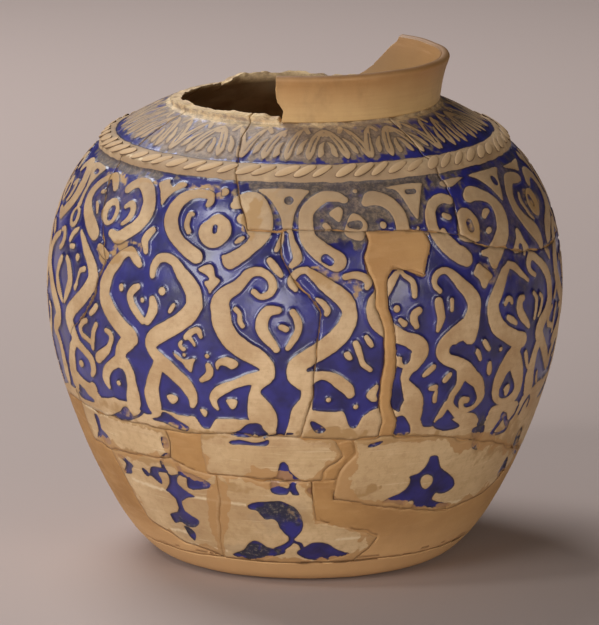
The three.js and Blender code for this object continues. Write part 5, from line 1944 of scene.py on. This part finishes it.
@dataclass(frozen=True)
class Finish:
    """What every finish has.

    Args:
        name: the material's name.
        roughness: how rough it is where nothing else is painted.
        speck_share: how much the dark specks of its clay show.
        grain: how strongly its grain catches the light.
        grain_height: how high its grain stands, in metres.
    """

    name: str
    roughness: float
    speck_share: float
    grain: float
    grain_height: float = 0.0005

    def build(self, wear: bpy.types.NodeTree, clay_grain: bpy.types.NodeTree) -> bpy.types.Material:
        """Builds the material from the shared groups."""
        material = bpy.data.materials.new(self.name)
        material.use_nodes = True
        n = NodeTools(material.node_tree)
        clay = n.group(clay_grain, Speck_Share=self.speck_share)
        values = {"Roughness": self.roughness, "Height": clay["Height"], **self.paint(n, clay, wear)}
        values["Normal"] = n.bump(values.pop("Height"), self.grain, self.grain_height)
        shader = material.node_tree.nodes["Principled BSDF"]
        for name, value in values.items():
            n.put(value, shader.inputs[name])
        return material

    def paint(self, n: NodeTools, clay: Sockets, wear: bpy.types.NodeTree) -> dict[str, object]:
        """Returns what goes into the shader's inputs, with a Height if the grain isn't the clay's.

        Args:
            n: the tools of the material's tree.
            clay: the outputs of the clay's grain.
            wear: the group of the wear along broken edges.
        """
        raise NotImplementedError


@dataclass(frozen=True)
class CarvedGlaze(Finish):
    """Buff slip left standing over a carved ground of cobalt glaze. Its zones are heights in metres."""

    name: str = "carved_slip_and_cobalt"
    roughness: float = 0.6
    speck_share: float = 0.55
    grain: float = 0.45
    grain_height: float = 0.0006
    gloss_roughness: float = 0.3
    lower_wall: tuple[float, float] = (0.078, 0.094)
    field_foot: tuple[float, float] = (0.08, 0.1)
    field: tuple[float, float] = (0.12, 0.235)
    frieze: tuple[float, float] = (0.226, 0.238)
    neck: tuple[float, float] = (0.2445, 0.2463)
    cream: tuple = linear(211, 181, 141)
    buff: tuple = linear(186, 152, 111)
    stain: tuple = linear(156, 117, 76)
    bare_clay: tuple = linear(168, 132, 86)
    smeared_fill: tuple = linear(178, 134, 84)
    body: tuple = linear(206, 178, 142)
    body_dark: tuple = linear(146, 114, 80)
    soil: tuple = linear(126, 102, 80)
    cobalt: tuple = linear(46, 45, 120)
    deep_cobalt: tuple = linear(33, 30, 78)
    pale_cobalt: tuple = linear(78, 78, 150)
    grey: tuple = linear(156, 132, 105)
    dark_grey: tuple = linear(116, 98, 80)
    mid_grey: tuple = linear(134, 114, 92)
    mid_dark: tuple = linear(80, 70, 62)
    low_grey: tuple = linear(132, 122, 106)
    neck_grey: tuple = linear(112, 98, 92)
    low_dark: tuple = linear(42, 42, 56)
    pale_slip: tuple = linear(221, 192, 146)
    cut_line: tuple = linear(44, 32, 34)
    scratch: tuple = linear(226, 204, 168)

    def paint(self, n: NodeTools, clay: Sockets, wear: bpy.types.NodeTree) -> dict[str, object]:
        """Lays the slip over the glaze by the carving, then wears both."""
        carving, rim = n.attribute("carving"), n.attribute("rim")
        skin = n.ramp(n.attribute("skin"), 0.3, 0.7)
        x, _, z = n.split(n.coordinates())
        grey, bare, pale = n.add("ShaderNodeSeparateColor", n.attribute("wear", "Color")).outputs
        worn = n.group(wear, Rim=rim, Width=n.ramp(z, *self.lower_wall, 4.2, 0.34))

        bare = n.times(bare, n.blotches(150, 5, 0.25, 0.6, 0.5, 1.3, shift=2.0))
        clay_shows = n.ramp(bare, 0.25, 0.75)
        slip = n.tint(self.plain_slip(n, clay, x, z), self.grey, grey, 0.42)
        slip = n.tint(slip, self.bare_clay, clay_shows, 0.9)
        slip = n.tint(slip, self.scratch, pale, 0.75)
        faded = n.ramp(n.times(grey, n.blotches(90, 5, 0.25, 0.6, 0.55, 1.25, shift=8.0)), 0.2, 0.8)
        glaze = n.mix(n.blotches(70, 5, 0.35, 0.7, shift=7.0), self.cobalt, self.deep_cobalt)
        glaze = n.tint(glaze, self.pale_cobalt, n.blotches(24, 3, 0.52, 0.74, shift=4.0), 0.45)
        glaze = n.tint(glaze, self.faded_glaze(n, z), faded, 0.9)

        lost = n.times(clay_shows, n.blotches(210, 5, 0.42, 0.56, shift=6.0))
        ground_left = n.times(n.ramp(carving, -0.1, 0.14), n.calc("SUBTRACT", 1.0, lost))
        colour = n.mix(ground_left, slip, glaze)
        line = n.times(n.ramp(carving, -0.22, 0.1), n.ramp(carving, 0.25, 1.0, 1.0, 0.0))
        colour = n.tint(colour, self.cut_line, line, n.ramp(grey, 0.2, 0.9, 0.72, 0.3))
        fringe = n.times(n.ramp(carving, -1.3, -0.2), n.ramp(carving, -0.2, 0.0, 1.0, 0.0))
        colour = n.tint(colour, self.stain, fringe, 0.2)

        smear = n.mix(n.ramp(z, *self.lower_wall), self.smeared_fill, self.bare_clay)
        colour = n.tint(colour, smear, worn["Worn"], 0.8)
        colour = n.tint(colour, self.soil, worn["Dirt"], n.ramp(z, 0.088, 0.1, 0.1, 0.35))
        neck = n.ramp(z, *self.neck)
        flecks = n.blotches(130, 6, 0.36, 0.64, roughness=0.75, stretch=(1.0, 1.0, 1.8), shift=12.0)
        colour = n.tint(colour, self.neck_grey, neck, n.ramp(flecks, 0.0, 1.0, 0.6, 0.0))
        colour = n.tint(colour, self.pale_slip, neck, n.times(flecks, 0.6))
        broken = n.mix(n.ramp(clay["Mottle"], 0.3, 0.7), self.body_dark, self.body)
        broken = n.tint(broken, self.pale_slip, neck, flecks)
        colour = n.mix(skin, broken, colour)

        gloss = n.times(ground_left, skin, n.calc("SUBTRACT", 1.0, n.times(faded, 0.85)),
                        n.ramp(z, 0.228, 0.236, 1.0, 0.5))
        return {
            "Base Color": colour,
            "Roughness": n.ramp(gloss, 0.0, 1.0, self.roughness, self.gloss_roughness),
            "Coat Weight": n.times(gloss, 0.4),
            "Coat Roughness": 0.16,
            "Height": n.mix(gloss, clay["Height"], n.noise(120, 3, shift=2.5)),
        }

    def plain_slip(self, n: NodeTools, clay: Sockets, x: Socket, z: Socket) -> Socket:
        """Returns the slip's colour with its stains and soil specks, and blotches that darken it more towards
        the top of the field; over the frieze these are painted shade on the left side and thin out to painted
        light on the right.
        """
        slip = n.mix(n.ramp(clay["Mottle"], 0.36, 0.66), self.buff, self.cream)
        slip = n.mix(n.ramp(z, 0.08, 0.092, 0.42, 0.0), slip, self.pale_slip)
        slip = n.tint(slip, self.stain, n.blotches(11, 4, 0.5, 0.72, shift=5.0), 0.55)
        slip = n.tint(slip, self.stain, clay["Lines"], 0.16)
        turned = n.blotches(34, 4, 0.6, 0.68, stretch=(1.0, 1.0, 30.0), roughness=0.6, shift=14.0)
        slip = n.tint(slip, self.scratch, turned, n.ramp(z, 0.08, 0.11, 0.45, 0.0))
        slip = n.tint(slip, self.stain, n.blotches(260, 6, 0.45, 0.7, roughness=0.75, shift=3.3), 0.34)
        slip = n.tint(slip, self.soil, clay["Specks"], 0.7)
        # Blotchy darkening that grows towards the top of the field.
        upward_blotchy_darkening = n.times(n.ramp(z, *self.field), n.blotches(38, 5, 0.3, 0.7, 0.2, 0.62, shift=2.2))
        high = n.ramp(z, *self.frieze)
        # Painted shade and light across the frieze: the darkening is made heavier on the left side and much
        # lighter on the right.
        frieze_painted_side_shading = n.times(high, n.ramp(x, -0.03, 0.03, 1.25, 0.25))
        return n.tint(slip, self.soil, upward_blotchy_darkening, n.calc("ADD", n.calc("SUBTRACT", 1.0, high), frieze_painted_side_shading))

    def faded_glaze(self, n: NodeTools, z: Socket) -> Socket:
        """Returns the mottled grey of faded glaze, another one on the lower wall and in the field."""
        high = n.mix(n.blotches(330, 6, 0.4, 0.62, roughness=0.8, shift=9.0), self.dark_grey, self.grey)
        middle = n.mix(n.blotches(360, 6, 0.42, 0.66, roughness=0.8, shift=8.5), self.mid_dark, self.mid_grey)
        low = n.mix(n.blotches(420, 6, 0.5, 0.68, roughness=0.8, shift=9.5), self.low_dark, self.low_grey)
        return n.mix(n.ramp(z, *self.field_foot), low, n.mix(n.ramp(z, 0.229, 0.235), middle, high))


@dataclass(frozen=True)
class TonedPlaster(Finish):
    """Matt fill, toned to the colour of the clay and brushed on in patches."""

    name: str = "toned_plaster_fill"
    roughness: float = 0.86
    speck_share: float = 0.3
    grain: float = 0.4
    tan: tuple = linear(181, 137, 84)
    brown: tuple = linear(162, 118, 69)
    # The streaks' and worn edges' tone, also laid on the right side as painted light.
    light: tuple = linear(196, 154, 104)
    foot_shade: tuple = linear(140, 108, 78)
    belly_patch: tuple = linear(150, 106, 62)
    # A pale tone laid over the foot as painted light.
    base: tuple = linear(220, 176, 124)

    def paint(self, n: NodeTools, clay: Sockets, wear: bpy.types.NodeTree) -> dict[str, object]:
        """Lays brushed tones over each other by place, with painted light on the right side and at the foot.
        """
        worn = n.group(wear, Rim=n.attribute("rim"), Width=1.0)
        x, _, z = n.split(n.coordinates())
        streaks = n.noise(60, 5, stretch=(1.0, 1.0, 5.0), shift=1.1)
        colour = n.mix(n.ramp(clay["Mottle"], 0.35, 0.65), self.brown, self.tan)
        colour = n.tint(colour, self.light, n.ramp(streaks, 0.5, 0.7), 0.22)
        colour = n.tint(colour, self.foot_shade, clay["Specks"], 0.5)
        colour = n.mix(n.ramp(z, 0.19, 0.21, 0.0, 0.6), colour, self.belly_patch)
        # Painted light: the right side, from x = 0 out, is laid up to half way to the light tone.
        colour = n.mix(n.ramp(x, 0.0, 0.09, 0.0, 0.5), colour, self.light)
        # Painted light: the foot, up to 4 cm, is laid up to 70% towards the pale base tone.
        colour = n.tint(colour, self.base, n.ramp(z, 0.012, 0.04, 1.0, 0.0), 0.7)
        colour = n.tint(colour, self.light, worn["Worn"], 0.35)
        colour = n.tint(colour, self.foot_shade, worn["Dirt"], 0.2)
        return {"Base Color": colour, "Roughness": n.ramp(streaks, 0.3, 0.8, self.roughness, 0.66)}


@dataclass(frozen=True)
class CollarClay(Finish):
    """Unglazed collar, pale at its seat and toasted towards the lip, with painted shade on its inner face."""

    name: str = "plain_collar_clay"
    roughness: float = 0.62
    speck_share: float = 0.35
    grain: float = 0.3
    pale: tuple = linear(203, 168, 116)
    toasted: tuple = linear(166, 122, 74)
    lip: tuple = linear(116, 82, 52)
    # The darker tone of the turning lines and of the painted shade on the inner face.
    inside: tuple = linear(156, 114, 68)
    specks: tuple = linear(120, 92, 60)

    def paint(self, n: NodeTools, clay: Sockets, wear: bpy.types.NodeTree) -> dict[str, object]:
        """Toasts the clay by height, then lays smoke, painted shade on the inner face, specks and wear over
        it.
        """
        worn = n.group(wear, Rim=n.attribute("rim"), Width=0.5)
        z = n.split(n.coordinates())[2]
        cloudy = n.calc("ADD", n.ramp(z, 0.248, 0.272, 0.0, 0.8), n.ramp(clay["Mottle"], 0.3, 0.75, 0.0, 0.3))
        colour = n.mix(cloudy, self.pale, self.toasted)
        colour = n.tint(colour, self.inside, clay["Lines"], 0.18)
        smoky = n.blotches(34, 6, 0.5, 0.72, stretch=(1.0, 1.0, 0.45), roughness=0.65, shift=6.6)
        colour = n.tint(colour, self.specks, smoky, 0.4)
        # Painted shade: the inner face is laid three quarters of the way to the darker inside tone.
        colour = n.mix(n.ramp(n.attribute("skin"), 0.3, 0.7, 0.75, 0.0), colour, self.inside)
        colour = n.tint(colour, self.lip, n.ramp(z, 0.2718, 0.2738), 0.65)
        colour = n.tint(colour, self.specks, clay["Specks"], 0.35)
        colour = n.tint(colour, self.pale, worn["Worn"], 0.5)
        return {"Base Color": colour, "Roughness": n.ramp(clay["Mottle"], 0.3, 0.7, self.roughness, 0.5)}


@dataclass(frozen=True)
class RopeClay(Finish):
    """Rubbed slip on the strands of the moulding, with painted shade on their flanks and round their feet.

    Args:
        lean: the way out of the moulding, as its shares outwards and upwards.
    """

    name: str = "rope_slip_with_painted_shade"
    roughness: float = 0.66
    speck_share: float = 0.7
    grain: float = 0.4
    slip: tuple = linear(192, 160, 121)
    # The tone of the painted shade on the strands, and of their dark specks.
    strand_shade_and_specks: tuple = linear(92, 68, 48)
    soil: tuple = linear(140, 112, 84)
    lean: tuple[float, float] = (0.56, 0.83)

    def paint(self, n: NodeTools, clay: Sockets, wear: bpy.types.NodeTree) -> dict[str, object]:
        """Paints shade on the strands by the way they face: dark on their flanks, undersides and feet, slip
        where they face up and out.
        """
        normal = n.add("ShaderNodeNewGeometry").outputs["Normal"]
        facing_up = n.split(normal)[2]
        level = n.vector("MULTIPLY", "Vector", n.coordinates(), (1.0, 1.0, 0.0))
        outwards = n.vector("NORMALIZE", "Vector", level)
        sideways = n.vector("DOT_PRODUCT", "Value", outwards, normal)
        out = n.calc("ADD", n.times(sideways, self.lean[0]), n.times(facing_up, self.lean[1]))
        # Painted shade: the strands go dark where they face down or away from the moulding's outward lean,
        # and keep the slip where they face up and out.
        upper = n.times(n.ramp(facing_up, 0.2, 0.6, 0.45, 1.0), n.ramp(out, 0.55, 0.86))
        colour = n.mix(upper, self.strand_shade_and_specks, self.slip)
        colour = n.tint(colour, self.soil, n.ramp(clay["Mottle"], 0.35, 0.65), 0.3)
        colour = n.tint(colour, self.strand_shade_and_specks, clay["Specks"], 0.6)
        return {"Base Color": colour}


@dataclass
class Studio:
    """The pale floor, the soft lights and the camera.

    Args:
        photo_size: the photo's width and height in pixels.
        focal_pixels: the lens, as the pixels that one metre fills at one metre.
        axis_pixel: the photo's column of the jar's axis.
        target_pixel: the photo's row of the height that the camera looks at.
        target_height: that height, in metres.
        elevation: how far the camera looks down.
        distance: how far it stands from the target.
        sensor: the sensor's height in millimetres.
        floor_size: the floor's side in metres.
        floor_colour: its colour round the jar.
        far_floor_painted_light: its colour far from the jar.
    """

    photo_size: tuple[int, int] = (599, 625)
    focal_pixels: float = 5528.571
    axis_pixel: float = 304.8
    target_pixel: float = 302.54
    target_height: float = 0.1353
    elevation: float = math.radians(12.6)
    distance: float = 3.0
    sensor: float = 24.0
    floor_size: float = 9.0
    floor_colour: tuple = linear(180, 165, 160)
    # A paler tone for the far floor, painted light where the lamps reach less.
    far_floor_painted_light: tuple = linear(214, 196, 190)

    def camera(self) -> None:
        """Adds the camera at the photograph's viewing angle."""
        data = bpy.data.cameras.new("camera")
        data.sensor_fit = "VERTICAL"
        data.sensor_height = self.sensor
        width, height = self.photo_size
        data.lens = self.focal_pixels / height * self.sensor
        data.shift_x = (width / 2 - self.axis_pixel) / height
        data.shift_y = (self.target_pixel - height / 2) / height
        data.clip_end = 20.0
        camera = linked("camera", data)
        camera.location = (0, -self.distance * math.cos(self.elevation),
                           self.target_height + self.distance * math.sin(self.elevation))
        camera.rotation_euler = (math.pi / 2 - self.elevation, 0, 0)
        bpy.context.scene.camera = camera

    def lamp(self, name: str, place: Sequence[float], size: float, power: float,
             colour: tuple[float, float, float] = (1, 1, 1)) -> None:
        """Adds a square soft light that looks at the jar.

        Args:
            name: its name.
            place: where it stands, in metres.
            size: its side.
            power: its power in watts.
            colour: its colour.
        """
        data = bpy.data.lights.new(name, "AREA")
        data.size = size
        data.energy = power
        data.color = colour
        lamp = linked(name, data)
        lamp.location = place
        way = Vector((0, 0, self.target_height)) - Vector(place)
        lamp.rotation_euler = way.to_track_quat("-Z", "Y").to_euler()

    def lights(self) -> None:
        """Adds the lights and the world."""
        self.lamp("key", (-1.25, -0.95, 1.75), 0.3, 6.5, (1.0, 0.99, 0.97))
        self.lamp("glint", (0.72, -1.9, 0.22), 0.16, 1.3)
        self.lamp("left_front", (-1.9, -1.9, 0.9), 1.2, 38.0, (1.0, 0.99, 0.98))
        self.lamp("left", (-2.4, 0.1, 0.9), 1.2, 4.0, (0.98, 0.99, 1.0))
        self.lamp("low_front", (-0.48, -2.0, 0.16), 0.5, 8.4, (1.0, 0.97, 0.93))
        self.lamp("right_front", (1.6, -2.0, 0.7), 1.0, 17.0, (1.0, 0.93, 0.82))
        self.lamp("behind", (-0.8, 1.0, 1.9), 1.2, 37.0)
        world = bpy.data.worlds.new("studio")
        world.use_nodes = True
        background = world.node_tree.nodes["Background"]
        background.inputs["Color"].default_value = (0.86, 0.85, 0.84, 1.0)
        background.inputs["Strength"].default_value = 0.03
        bpy.context.scene.world = world

    def floor(self) -> None:
        """Adds the floor, wide enough to fill the view, painted paler away from the jar as painted light."""
        material = bpy.data.materials.new("floor_paper")
        material.use_nodes = True
        shader = material.node_tree.nodes["Principled BSDF"]
        n = NodeTools(material.node_tree)
        # Painted light: the floor grows paler from 0.45 m to 1.9 m away from the jar.
        far = n.ramp(n.vector("LENGTH", "Value", n.coordinates()), 0.45, 1.9)
        n.put(n.mix(far, self.floor_colour, self.far_floor_painted_light), shader.inputs["Base Color"])
        n.put(0.9, shader.inputs["Roughness"])
        n.put(0.2, shader.inputs["Specular IOR Level"])
        half = self.floor_size / 2
        mesh = bpy.data.meshes.new("floor")
        mesh.from_pydata([(-half, -half, 0), (half, -half, 0), (half, half, 0), (-half, half, 0)], [],
                         [(0, 1, 2, 3)])
        mesh.materials.append(material)
        linked("floor", mesh)


FILLS = ("belly_fill_front", "lower_fill_strip_left", "lower_fill_strip_right", "lower_fill_left",
         "lower_fill_right", "lower_fill_back")


def main() -> None:
    """Builds the jar piece by piece, then the studio round it."""
    logging.basicConfig(level=logging.INFO, format="%(name)s: %(message)s")
    studio = Studio()
    studio.camera()
    carving = Carving()
    log.info("carving: %d by %d", *carving.distance.shape)
    face = OuterFace(carving)
    wear, clay_grain = edge_wear_group(), clay_grain_group()
    glaze, plaster, collar, rope = (
        finish.build(wear, clay_grain) for finish in (CarvedGlaze(), TonedPlaster(), CollarClay(), RopeClay())
    )

    apart = {"foot_and_floor", "neck_collar"}
    for i, node in enumerate(sorted(set(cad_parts) - apart)):
        if node in FILLS:
            WallPiece(node, face, Slot.FILL, carved=False, seed=i).build(plaster)
        else:
            WallPiece(node, face, seed=i).build(glaze)
    FootAndFloor("foot_and_floor", face).build(plaster)
    NeckCollar("neck_collar").build(collar)
    RopeMoulding().build(rope)
    JointGlue("joint_glue_lower", face, 33.0, 121.0).build(plaster)
    JointGlue("joint_glue_upper", face, 121.6, 298.0).build(plaster)

    studio.floor()
    studio.lights()
    bpy.context.scene.view_settings.view_transform = "Standard"


if __name__ == "__main__":
    main()
